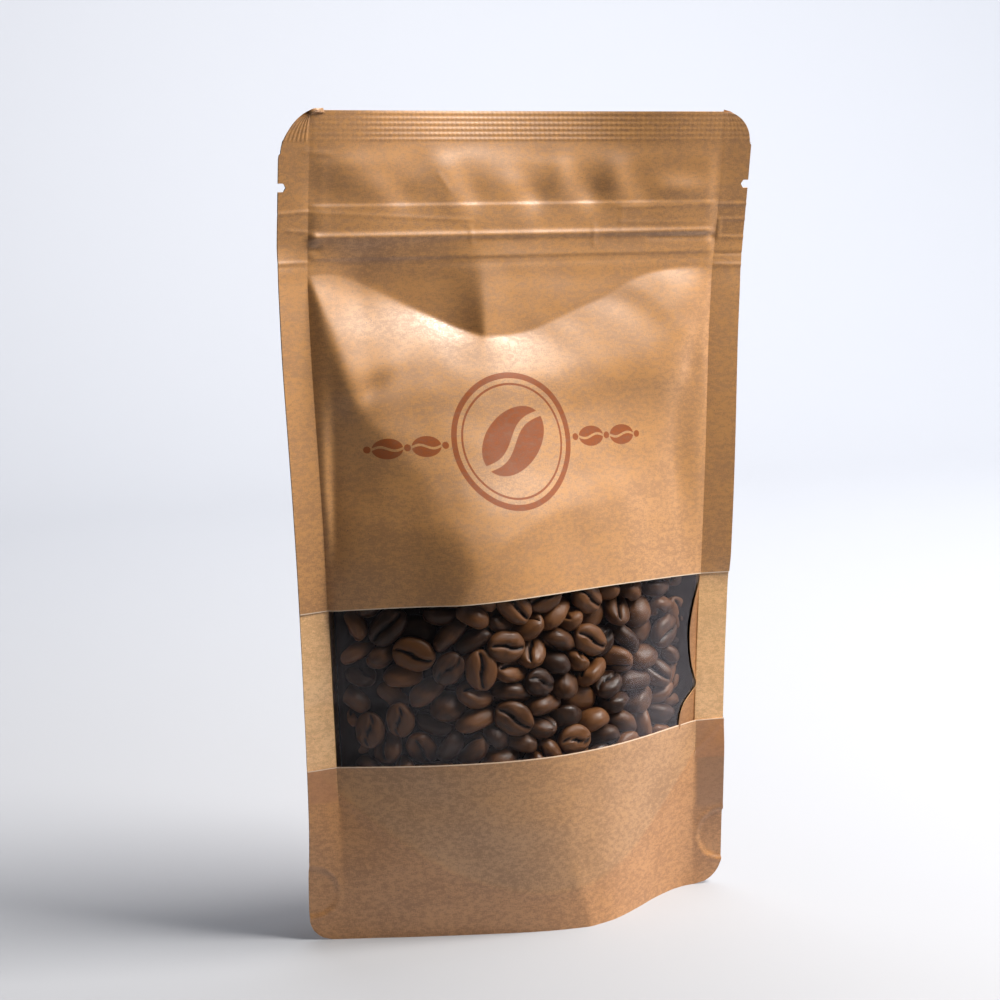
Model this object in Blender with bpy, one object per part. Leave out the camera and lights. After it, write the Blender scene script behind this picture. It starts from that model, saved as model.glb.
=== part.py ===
"""Kraft paper stand-up pouch with a clear window that shows roasted coffee beans.

The pouch is one closed body: front and back panels sealed together along a flat seam on each side
and across the top, a press-to-close zipper under the top seal, and a gusset that opens the bottom
into a flat base. A band cut out of the front is the window; the film closes it and the beans lie
behind it.

Units are metres and +Z is up. The base rests on z = 0 and the front faces -Y.
"""
import math
import random
from dataclasses import dataclass

import bmesh
import bpy

# Outline of the pouch.
HEIGHT = 0.208
FLAT_WIDTH = 0.130          # of each panel, laid flat
BASE_WIDTH = 0.120          # corner to corner once the gusset is open
FILL_START = 0.040          # the sides stand straight up to here
FILL_END = 0.168            # and are back at the flat width here
TOP_CORNER = 0.007
BOTTOM_CORNER = 0.006
SEAM_WIDTH = 0.008
SEAM_THICKNESS = 0.0010     # both panels, sealed together
TOP_SEAL = 0.008
BOW_HEIGHT = 0.160          # the pouch bows back a little, most at this height
BOW_SPREAD = 0.032
BOW_DEPTH = 0.003

# Tear notches.
NOTCH_HEIGHT = 0.1893
NOTCH_DEPTH = 0.0018
NOTCH_WIDTH = 0.0018

# Zipper and the folds below it.
ZIPPER_HEIGHT = 0.178
ZIPPER_RIDGE = 0.0013
ZIPPER_RADIUS = 0.0013
ZIPPER_BOTTOM = 0.172
FOLD_TIP = (-0.0098, 0.1508)
FOLD_LEFT_RISE = 0.0170     # of the crease, from its tip up to each shoulder
FOLD_RIGHT_RISE = 0.0168
FOLD_DEPTH = 0.0012         # of the panel in the crease
FOLD_NOSE = 0.0026          # how far the tip stands out of it
FOLD_NOSE_WIDTH = 0.012
FOLD_RISE_LENGTH = 0.054    # below the crease, until the panel is full again
FACET_HEIGHTS = (0.080, 0.100, 0.115, 0.130, 0.168)
FACET_SLOPES = (2.4, 1.2, 0.8, 0.62, 0.60)   # of the flat facets beside the seams, at those heights

# Window, film and beans.
WINDOW_BOTTOM = 0.0450
WINDOW_TOP = 0.0850
WINDOW_MARGIN = 0.0015      # between the window and each seam
FILM = 0.0004
GAP = 0.0003
RECESS_DEPTH = 0.012
RECESS_SHARE = 0.5          # of the pouch's own thickness, where that is less
BEAN_LENGTH = 0.0105
BEAN_WIDTH = 0.0080
BEAN_RELIEF = 0.0028
BEAN_ROWS = 6
BEAN_COLUMNS = 11
BEAN_SEED = 11

# Mesh density.
SEAM_STEPS = 2
BODY_STEPS = 24
FILM_STEPS = (24, 3)
FILL_STEPS = (44, 16)
LEVEL_STEP = 0.0085


@dataclass(frozen=True)
class Section:
    """One level of a panel: how far it bulges, where it is fullest, and how it falls to each seam.

    Each side falls as (1 - t ** power) ** flare, with t running from the fullest point to the seam.
    """

    height: float
    depth: float
    crest: float
    left_power: float
    left_flare: float
    right_power: float
    right_flare: float


FRONT_SECTIONS = (
    Section(0.000, 0.0210, 0.008, 1.3, 1.0, 1.6, 2.0),
    Section(0.022, 0.0209, 0.004, 1.4, 1.0, 1.75, 1.45),
    Section(0.045, 0.0203, -0.002, 1.6, 1.0, 1.85, 1.15),
    Section(0.065, 0.0194, -0.009, 1.6, 1.0, 1.6, 1.1),
    Section(0.085, 0.0186, -0.016, 1.55, 1.0, 1.4, 1.0),
    Section(0.105, 0.0180, -0.023, 1.5, 1.0, 1.35, 1.0),
    Section(0.120, 0.0176, -0.031, 1.4, 1.0, 1.4, 1.0),
    Section(0.134, 0.0168, -0.044, 1.2, 1.0, 2.2, 1.0),
    Section(0.145, 0.0160, -0.050, 1.2, 1.0, 3.5, 1.0),
    Section(0.156, 0.0150, -0.054, 1.2, 1.0, 5.0, 1.0),
    Section(0.168, 0.0140, -0.055, 1.2, 1.0, 6.0, 1.0),
)
BACK_SECTIONS = (
    Section(0.000, 0.0210, 0.0, 1.5, 1.3, 1.5, 1.3),
    Section(0.045, 0.0200, 0.0, 2.0, 1.1, 2.0, 1.1),
    Section(0.085, 0.0175, 0.0, 2.2, 1.1, 2.2, 1.1),
    Section(0.115, 0.0145, 0.0, 2.2, 1.1, 2.2, 1.1),
    Section(0.141, 0.0110, 0.0, 2.2, 1.1, 2.2, 1.1),
    Section(0.158, 0.0055, 0.0, 2.0, 1.3, 2.0, 1.3),
    Section(0.172, 0.0010, 0.0, 2.0, 1.5, 2.0, 1.5),
)


def smoothstep(value, low, high):
    """Eased share, 0 to 1, of the way from low to high."""
    share = min(max((value - low) / (high - low), 0.0), 1.0)
    return share * share * (3.0 - 2.0 * share)


def glide(stations, values, at):
    """Smooth curve through the values at the stations (Catmull-Rom with uneven spacing)."""
    at = min(max(at, stations[0]), stations[-1])
    last = len(stations) - 1
    index = next(i for i in range(last) if at <= stations[i + 1])

    def slope(i):
        low, high = max(i - 1, 0), min(i + 1, last)
        return (values[high] - values[low]) / (stations[high] - stations[low])

    span = stations[index + 1] - stations[index]
    t = (at - stations[index]) / span
    start = values[index] * (1 + 2 * t) * (1 - t) ** 2 + slope(index) * span * t * (1 - t) ** 2
    end = values[index + 1] * t * t * (3 - 2 * t) + slope(index + 1) * span * t * t * (t - 1)
    return start + end


def section_at(sections, z):
    """Section blended from the stated ones at height z."""
    stations = [section.height for section in sections]
    fields = ("depth", "crest", "left_power", "left_flare", "right_power", "right_flare")
    blended = [glide(stations, [getattr(section, field) for section in sections], z) for field in fields]
    return Section(z, *blended)


def corner_inset(z):
    """How far a rounded corner takes the side edge in at height z."""
    for radius, into in ((TOP_CORNER, z - (HEIGHT - TOP_CORNER)), (BOTTOM_CORNER, BOTTOM_CORNER - z)):
        if into > 0.0:
            return radius - math.sqrt(max(radius * radius - into * into, 0.0))
    return 0.0


def straight_half_width(z):
    """Half of the width between the side edges at height z, without the rounded corners."""
    narrow, full = BASE_WIDTH / 2, FLAT_WIDTH / 2
    return narrow + (full - narrow) * smoothstep(z, FILL_START, FILL_END)


def seam_line(z):
    """Half of the width between the inner edges of the side seams at height z."""
    return straight_half_width(z) - SEAM_WIDTH


def middle(z):
    """Y of the plane in which the side seams lie at height z."""
    return BOW_DEPTH * math.exp(-((z - BOW_HEIGHT) / BOW_SPREAD) ** 2)


def bulge(sections, x, z):
    """How far a panel stands out of the seams' plane."""
    section = section_at(sections, z)
    edge = seam_line(z)
    if abs(x) >= edge:
        return 0.0
    if x < section.crest:
        t = (section.crest - x) / (section.crest + edge)
        return section.depth * (1.0 - t ** section.left_power) ** section.left_flare
    t = (x - section.crest) / (edge - section.crest)
    return section.depth * (1.0 - t ** section.right_power) ** section.right_flare


def crease_height(x):
    """Height of the crease that runs from the left shoulder down to its tip and up to the right one."""
    tip_x, tip_z = FOLD_TIP
    reach = FLAT_WIDTH / 2 - SEAM_WIDTH
    if x < tip_x:
        return tip_z + FOLD_LEFT_RISE * math.sin(0.5 * math.pi * (tip_x - x) / (tip_x + reach))
    return tip_z + FOLD_RIGHT_RISE * min((x - tip_x) / (reach - tip_x), 1.0) ** 0.8


def front_depth(x, z):
    """How far the front stands before the seams' plane at (x, z)."""
    edge = seam_line(z)
    side = min(max((edge - abs(x)) / 0.004, 0.0), 1.0)
    crease = crease_height(x)
    nose = FOLD_NOSE * math.exp(-abs(x - FOLD_TIP[0]) / FOLD_NOSE_WIDTH)
    valley = (FOLD_DEPTH + nose) * side
    flat = FOLD_DEPTH * side * smoothstep(HEIGHT - TOP_SEAL - z, 0.0, 0.006)
    if z >= crease:
        depth = flat + (valley - flat) * smoothstep(ZIPPER_BOTTOM - z, 0.0, ZIPPER_BOTTOM - crease)
    else:
        rise = 1.0 - max(1.0 - (crease - z) / FOLD_RISE_LENGTH, 0.0) ** 1.3
        full = bulge(FRONT_SECTIONS, x, z)
        facet = glide(FACET_HEIGHTS, FACET_SLOPES, z) * max(edge - abs(x), 0.0)
        depth = min(valley * (1.0 - rise) + full * rise, facet)
    ridge = ZIPPER_RIDGE * side * math.exp(-((z - ZIPPER_HEIGHT) / ZIPPER_RADIUS) ** 2)
    return SEAM_THICKNESS / 2 + depth + ridge


def front(x, z):
    """Y of the front's outer face."""
    return middle(z) - front_depth(x, z)


def back(x, z):
    """Y of the back's outer face."""
    return middle(z) + SEAM_THICKNESS / 2 + bulge(BACK_SECTIONS, x, z)


def recess_depth(x, z):
    """How deep the window's recess goes behind the front."""
    return min(RECESS_DEPTH, RECESS_SHARE * (back(x, z) - front(x, z)))


def columns_at(z):
    """X of the mesh columns at height z, from the left edge to the right one."""
    edge = straight_half_width(z) - corner_inset(z)
    inner = min(seam_line(z), edge - 0.0005)
    seam = [inner + (edge - inner) * step / SEAM_STEPS for step in range(SEAM_STEPS + 1)]
    body = [inner * math.sin(math.pi * (step / BODY_STEPS - 0.5)) for step in range(1, BODY_STEPS)]
    return [-x for x in reversed(seam)] + body + seam


def levels():
    """Heights of the mesh rings: an even spacing, closer at the corners, the folds and the zipper."""
    heights = {0.0, HEIGHT, HEIGHT - TOP_SEAL, ZIPPER_BOTTOM, WINDOW_BOTTOM, WINDOW_TOP}
    heights.update(BOTTOM_CORNER * share for share in (0.07, 0.3, 0.62, 1.0))
    heights.update(HEIGHT - TOP_CORNER * share for share in (0.06, 0.28, 0.6))
    heights.update(ZIPPER_HEIGHT + ZIPPER_RADIUS * step for step in (-2.0, -1.0, -0.4, 0.4, 1.0, 2.0))
    heights.update(FOLD_TIP[1] + 0.0032 * step for step in range(-1, 6))
    steps = round(HEIGHT / LEVEL_STEP)
    for step in range(steps):
        z = HEIGHT * step / steps
        if min(abs(z - other) for other in heights) > 0.45 * LEVEL_STEP:
            heights.add(z)
    return sorted(heights)


def finish(mesh_builder, name, material):
    """Object of the built mesh, with outward faces, one material and a place in the scene."""
    bmesh.ops.recalc_face_normals(mesh_builder, faces=mesh_builder.faces)
    mesh = bpy.data.meshes.new(name)
    mesh_builder.to_mesh(mesh)
    mesh_builder.free()
    made = bpy.data.objects.new(name, mesh)
    bpy.context.scene.collection.objects.link(made)
    if material is not None:
        mesh.materials.append(material)
    return made


def loft(name, rings, material):
    """Closed body through rings of points, each with the same number of points."""
    builder = bmesh.new()
    loops = [[builder.verts.new(point) for point in ring] for ring in rings]
    count = len(loops[0])
    for lower, upper in zip(loops, loops[1:]):
        for i in range(count):
            j = (i + 1) % count
            builder.faces.new((lower[i], lower[j], upper[j], upper[i]))
    builder.faces.new(loops[0])
    builder.faces.new(loops[-1])
    return finish(builder, name, material)


def slab(name, steps, inset, near, far, material=None):
    """Closed body behind the window, between two faces given as y of (x, z).

    The inset takes its outline in from that of the window's recess.
    """
    across, up = steps
    low, high = WINDOW_BOTTOM + inset, WINDOW_TOP - inset
    builder = bmesh.new()
    sheets = []
    for face in (near, far):
        rows = []
        for row in range(up + 1):
            z = low + (high - low) * row / up
            edge = seam_line(z) - WINDOW_MARGIN - inset
            xs = [edge * (2.0 * column / across - 1.0) for column in range(across + 1)]
            rows.append([builder.verts.new((x, face(x, z), z)) for x in xs])
        sheets.append(rows)
    for rows in sheets:
        for row in range(up):
            for column in range(across):
                corners = (rows[row][column], rows[row][column + 1])
                builder.faces.new(corners + (rows[row + 1][column + 1], rows[row + 1][column]))
    outlines = []
    for rows in sheets:
        right = [row[-1] for row in rows[1:-1]]
        left = [row[0] for row in reversed(rows[1:-1])]
        outlines.append(rows[0] + right + rows[-1][::-1] + left)
    count = len(outlines[0])
    for i in range(count):
        j = (i + 1) % count
        builder.faces.new((outlines[0][i], outlines[0][j], outlines[1][j], outlines[1][i]))
    return finish(builder, name, material)


def cut(target, cutter):
    """Take the cutter out of the target with an exact Boolean and keep the cutter hidden."""
    modifier = target.modifiers.new(cutter.name, "BOOLEAN")
    modifier.operation = "DIFFERENCE"
    modifier.solver = "EXACT"
    modifier.object = cutter
    cutter.hide_render = True
    cutter.display_type = "WIRE"


def principled(name, colour, roughness, alpha=1.0):
    """Plain Principled material."""
    material = bpy.data.materials.new(name)
    material.use_nodes = True
    shader = material.node_tree.nodes["Principled BSDF"]
    shader.inputs["Base Color"].default_value = (*colour, 1.0)
    shader.inputs["Roughness"].default_value = roughness
    shader.inputs["Alpha"].default_value = alpha
    return material


def bean_field():
    """Places of the beans behind the film: (x, z, turn) of each, in uneven rows."""
    dice = random.Random(BEAN_SEED)
    half = seam_line(WINDOW_BOTTOM)
    places = []
    for row in range(BEAN_ROWS):
        for column in range(BEAN_COLUMNS):
            across = (column + 0.5 * (row % 2) + dice.uniform(0.1, 0.4)) / BEAN_COLUMNS
            up = (row + dice.uniform(0.25, 0.75)) / BEAN_ROWS
            x = half * (2.0 * across - 1.0)
            z = WINDOW_BOTTOM + (WINDOW_TOP - WINDOW_BOTTOM) * up
            places.append((x, z, dice.uniform(0.0, math.pi)))
    return places


def bean_relief(places, x, z):
    """How far the beans' outline lies behind the film at (x, z)."""
    top = 0.0
    for bean_x, bean_z, turn in places:
        along = (x - bean_x) * math.cos(turn) + (z - bean_z) * math.sin(turn)
        across = (z - bean_z) * math.cos(turn) - (x - bean_x) * math.sin(turn)
        distance = (2 * along / BEAN_LENGTH) ** 2 + (2 * across / BEAN_WIDTH) ** 2
        top = max(top, math.sqrt(max(1.0 - distance, 0.0)))
    return BEAN_RELIEF * (1.0 - top)


def make_pouch(material):
    """The kraft body: panels, seams, zipper and base, with the notches and the window cut into it."""
    rings = []
    for z in levels():
        xs = columns_at(z)
        rings.append([(x, front(x, z), z) for x in xs] + [(x, back(x, z), z) for x in reversed(xs)])
    pouch = loft("kraft_pouch", rings, material)

    def recess_floor(x, z):
        return front(x, z) + recess_depth(x, z)

    recess = slab("cut_window", FILL_STEPS, 0.0, lambda x, z: -0.04, recess_floor)
    cut(pouch, recess)

    for name, side in (("cut_notch_left", -1.0), ("cut_notch_right", 1.0)):
        edge = straight_half_width(NOTCH_HEIGHT)
        tip, mouth = side * (edge - NOTCH_DEPTH), side * (edge + NOTCH_DEPTH)
        low, high = NOTCH_HEIGHT - NOTCH_WIDTH, NOTCH_HEIGHT + NOTCH_WIDTH
        wedge = [(tip, NOTCH_HEIGHT), (mouth, low), (mouth, high)]
        cutter = loft(name, [[(x, y, z) for x, z in wedge] for y in (-0.01, 0.01)], None)
        cut(pouch, cutter)
    return pouch


def make_film(material):
    """The clear film that closes the window, flush with the kraft."""
    return slab("window_film", FILM_STEPS, GAP, front, lambda x, z: front(x, z) + FILM, material)


def make_beans(material):
    """The beans behind the film, as one solid out to their uneven outline."""
    places = bean_field()
    start = FILM + GAP

    def near(x, z):
        room = recess_depth(x, z) - GAP - start
        return front(x, z) + start + min(bean_relief(places, x, z), 0.6 * room)

    def far(x, z):
        return front(x, z) + recess_depth(x, z) - GAP

    return slab("bean_fill", FILL_STEPS, GAP, near, far, material)


def main():
    """Clear the scene and build the three sub-parts."""
    for old in list(bpy.data.objects):
        bpy.data.objects.remove(old, do_unlink=True)
    make_pouch(principled("kraft_paper", (0.46, 0.28, 0.14), 0.65))
    make_film(principled("clear_film", (0.85, 0.85, 0.85), 0.15, 0.3))
    make_beans(principled("roasted_beans", (0.07, 0.035, 0.02), 0.45))


main()
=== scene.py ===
"""Looks of the kraft stand-up pouch: formed paper panels, clear window, roasted beans and studio.

Lengths are in metres where nothing else is said, in the frame's own axes: +Z up, -Y out of the front
panel. A place on a flat panel, before it is formed, is u across from the middle and v up from the
bottom edge.
"""

import logging
import math
from dataclasses import dataclass
from enum import Enum
from typing import Sequence

import bmesh
import bpy
import numpy as np
from mathutils import Matrix, Vector, noise


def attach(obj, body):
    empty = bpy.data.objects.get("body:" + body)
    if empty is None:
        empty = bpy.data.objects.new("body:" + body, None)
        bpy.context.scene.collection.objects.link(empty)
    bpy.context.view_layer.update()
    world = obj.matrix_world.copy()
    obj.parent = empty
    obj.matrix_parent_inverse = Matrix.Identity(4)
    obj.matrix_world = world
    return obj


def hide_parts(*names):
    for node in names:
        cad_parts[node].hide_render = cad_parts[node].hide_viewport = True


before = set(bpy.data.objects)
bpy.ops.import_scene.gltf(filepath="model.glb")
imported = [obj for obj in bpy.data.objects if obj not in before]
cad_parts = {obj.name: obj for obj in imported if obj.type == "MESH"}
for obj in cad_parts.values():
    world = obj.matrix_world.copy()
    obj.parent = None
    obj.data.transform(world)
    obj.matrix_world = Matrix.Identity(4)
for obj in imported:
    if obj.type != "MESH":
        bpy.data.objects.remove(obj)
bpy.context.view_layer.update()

LOG = logging.getLogger("pouch")
MM = 0.001
BODY = "root"
FLAT_UV = "Flat"
TONE = "tone"
GROOVE = "groove"

Array = np.ndarray
Colour = tuple[float, float, float]
Socket = bpy.types.NodeSocket


class Face(Enum):
    """Which side of the pouch a sheet belongs to."""

    FRONT = -1.0
    BACK = 1.0


def tune(target: object, **settings: object) -> None:
    """Set some of an object's properties."""
    for name, value in settings.items():
        setattr(target, name, value)


class Bench:
    """Modelling steps that every piece shares."""

    @staticmethod
    def clear_selection() -> None:
        """Leave edit mode and deselect everything."""
        if bpy.context.mode != "OBJECT":
            bpy.ops.object.mode_set(mode="OBJECT")
        bpy.ops.object.select_all(action="DESELECT")

    @staticmethod
    def take(*pieces: bpy.types.Object) -> None:
        """Select some objects alone and make the first one active."""
        Bench.clear_selection()
        for piece in pieces:
            piece.select_set(True)
        bpy.context.view_layer.objects.active = pieces[0]

    @staticmethod
    def named(name: str) -> bpy.types.Object:
        """Name the primitive that was just added, and return it."""
        piece = bpy.context.active_object
        piece.name = name
        piece.data.name = name
        return piece

    @staticmethod
    def settle(piece: bpy.types.Object) -> None:
        """Apply the object's place, turn and size to its mesh."""
        Bench.take(piece)
        bpy.ops.object.transform_apply(location=True, rotation=True, scale=True)

    @staticmethod
    def points(piece: bpy.types.Object) -> Array:
        """Coordinates of a mesh's vertices, one row each."""
        flat = np.empty(len(piece.data.vertices) * 3, dtype=np.float64)
        piece.data.vertices.foreach_get("co", flat)
        return flat.reshape(-1, 3)

    @staticmethod
    def move_points(piece: bpy.types.Object, points: Array) -> None:
        """Put a mesh's vertices at new coordinates."""
        piece.data.vertices.foreach_set("co", points.ravel())
        piece.data.update()

    @staticmethod
    def mark_points(piece: bpy.types.Object, name: str, values: Array) -> None:
        """Keep a number for each of a mesh's vertices in an attribute."""
        layer = piece.data.attributes.get(name) or piece.data.attributes.new(name, "FLOAT", "POINT")
        layer.data.foreach_set("value", values.astype(np.float32))

    @staticmethod
    def grid(name: str, columns: int, rows: int) -> bpy.types.Object:
        """Add a flat grid of one by one, centred, to be formed into a sheet.

        Args:
            name: the piece's name.
            columns: faces across.
            rows: faces up.

        Returns:
            The grid.
        """
        Bench.clear_selection()
        bpy.ops.mesh.primitive_grid_add(x_subdivisions=columns, y_subdivisions=rows, size=1.0)
        return Bench.named(name)

    @staticmethod
    def thicken(piece: bpy.types.Object, thickness: float, materials: Sequence[bpy.types.Material]) -> None:
        """Give a sheet its thickness, inwards from the face that shows.

        Args:
            piece: the formed sheet.
            thickness: of the material.
            materials: of the outer face, the inner face and the cut edge.
        """
        for material in materials:
            piece.data.materials.append(material)
        solidify = piece.modifiers.new("thickness", "SOLIDIFY")
        last = len(materials) - 1
        tune(solidify, thickness=thickness, offset=-1.0,
             material_offset=min(1, last), material_offset_rim=last)
        Bench.take(piece)
        bpy.ops.object.modifier_apply(modifier=solidify.name)

    @staticmethod
    def smooth(piece: bpy.types.Object, degrees: float = 40.0) -> None:
        """Shade a piece smooth, apart from edges sharper than the angle.

        Args:
            piece: the piece to shade.
            degrees: the sharpest angle that still shades smooth.
        """
        Bench.take(piece)
        bpy.ops.object.shade_smooth_by_angle(angle=math.radians(degrees))

    @staticmethod
    def form(sheet: bpy.types.Object, points: Array, thickness: float,
             materials: Sequence[bpy.types.Material], degrees: float) -> bpy.types.Object:
        """Bend a flat sheet into its shape, give it its thickness and shade it smooth.

        Args:
            sheet: the flat sheet.
            points: where its vertices go.
            thickness: of the material.
            materials: of the outer face, the inner face and the cut edge.
            degrees: the sharpest angle that still shades smooth.

        Returns:
            The finished sheet.
        """
        Bench.move_points(sheet, points)
        Bench.thicken(sheet, thickness, materials)
        Bench.smooth(sheet, degrees)
        return sheet

    @staticmethod
    def hand_over(piece: bpy.types.Object, slot: str, nodes: Sequence[str] = ()) -> None:
        """Tell the frame what a finished piece rides on and stands for.

        Args:
            piece: the finished piece.
            slot: the name of the record's material slot; not used.
            nodes: the CAD nodes that it replaces.
        """
        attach(piece, BODY)
        if nodes:
            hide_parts(*nodes)
        piece.data.calc_loop_triangles()
        LOG.info("%s: %d triangles", piece.name, len(piece.data.loop_triangles))


def ease(value: Array, low: float, high: float) -> Array:
    """Eased share, 0 to 1, of the way from low to high."""
    share = np.clip((value - low) / (high - low), 0.0, 1.0)
    return share * share * (3.0 - 2.0 * share)


def hump(value: Array, centre: float, reach: float) -> Array:
    """Bell curve that is 1 at the centre and falls away over the reach."""
    return np.exp(-(((value - centre) / reach) ** 2))


@dataclass(frozen=True)
class Curve:
    """A smooth curve through values at uneven stations, which are in mm and in rising order."""

    stations: tuple[float, ...]
    values: tuple[float, ...]
    unit: float = 1.0

    def at(self, place: Array) -> Array:
        """The curve's value at each place."""
        stations = np.array([station * MM for station in self.stations])
        values = np.array([value * self.unit for value in self.values])
        place = np.clip(place, stations[0], stations[-1])
        slopes = np.empty(len(values))
        slopes[1:-1] = (values[2:] - values[:-2]) / (stations[2:] - stations[:-2])
        slopes[0] = (values[1] - values[0]) / (stations[1] - stations[0])
        slopes[-1] = (values[-1] - values[-2]) / (stations[-1] - stations[-2])
        index = np.clip(np.searchsorted(stations, place, side="right") - 1, 0, len(values) - 2)
        span = stations[index + 1] - stations[index]
        t = (place - stations[index]) / span
        start = values[index] * (1 + 2 * t) * (1 - t) ** 2 + slopes[index] * span * t * (1 - t) ** 2
        end = values[index + 1] * t * t * (3 - 2 * t) + slopes[index + 1] * span * t * t * (t - 1)
        return start + end


def rounded(share: Array, power: Array, round_off: Array | float = 0.3) -> Array:
    """A power of a share, 0 to 1, whose start is rounded so that it has no sharp bend."""
    grown = (share**2 + round_off**2) ** (0.5 * power) - round_off**power
    return grown / ((1.0 + round_off**2) ** (0.5 * power) - round_off**power)


def unevenness(u: Array, v: Array, size: float, seed: float) -> Array:
    """Soft random unevenness between about -0.5 and 0.5.

    Args:
        u: places across the flat sheet.
        v: places up the flat sheet.
        size: how far apart its hills are.
        seed: picks another pattern.

    Returns:
        The value at each place.
    """
    places = zip((u / size).tolist(), (v / size).tolist())
    return np.array([noise.noise(Vector((across, up, seed))) for across, up in places])


@dataclass(frozen=True)
class Section:
    """One level of a panel, in mm: its bulge, where it is fullest, and how it falls to each seam."""

    height: float
    depth: float
    crest: float
    left_power: float
    left_flare: float
    right_power: float
    right_flare: float


@dataclass(frozen=True)
class Dent:
    """A soft swelling of a panel (a dent where its height is negative), in mm of the flat sheet."""

    u: float
    v: float
    wide: float
    tall: float
    height: float
    turn: float = 0.0

    def at(self, u: Array, v: Array) -> Array:
        """How far the dent lifts each place."""
        turn = math.radians(self.turn)
        across, up = u / MM - self.u, v / MM - self.v
        along = across * math.cos(turn) + up * math.sin(turn)
        aside = up * math.cos(turn) - across * math.sin(turn)
        return self.height * MM * np.exp(-((along / self.wide) ** 2) - (aside / self.tall) ** 2)


@dataclass(frozen=True)
class Line:
    """A thin raised crease (sunk where its height is negative), in mm of the flat sheet."""

    start: tuple[float, float]
    end: tuple[float, float]
    height: float
    wide: float = 0.45

    def at(self, u: Array, v: Array) -> Array:
        """How far the crease lifts each place."""
        across, up = self.end[0] - self.start[0], self.end[1] - self.start[1]
        length = math.hypot(across, up)
        du, dv = u / MM - self.start[0], v / MM - self.start[1]
        along = (du * across + dv * up) / length
        aside = (dv * across - du * up) / length
        past = np.clip(-along, 0.0, None) + np.clip(along - length, 0.0, None)
        return self.height * MM * np.exp(-((aside / self.wide) ** 2) - (past / (2.0 * self.wide)) ** 2)


@dataclass(frozen=True)
class Spot:
    """A round heat-sealed spot, pressed into the paper with a rolled rim, in mm of the flat sheet."""

    u: float
    v: float
    radius: float
    depth: float

    def at(self, u: Array, v: Array) -> Array:
        """How far the spot lifts each place (negative inside it)."""
        reach = np.hypot(u / MM - self.u, v / MM - self.v)
        inside = 1.0 - ease(reach, self.radius - 0.5, self.radius + 0.5)
        rim = hump(reach, self.radius + 0.5, 0.6)
        return MM * (0.35 * rim - inside) * self.depth


Relief = Sequence[Dent | Line | Spot]


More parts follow.
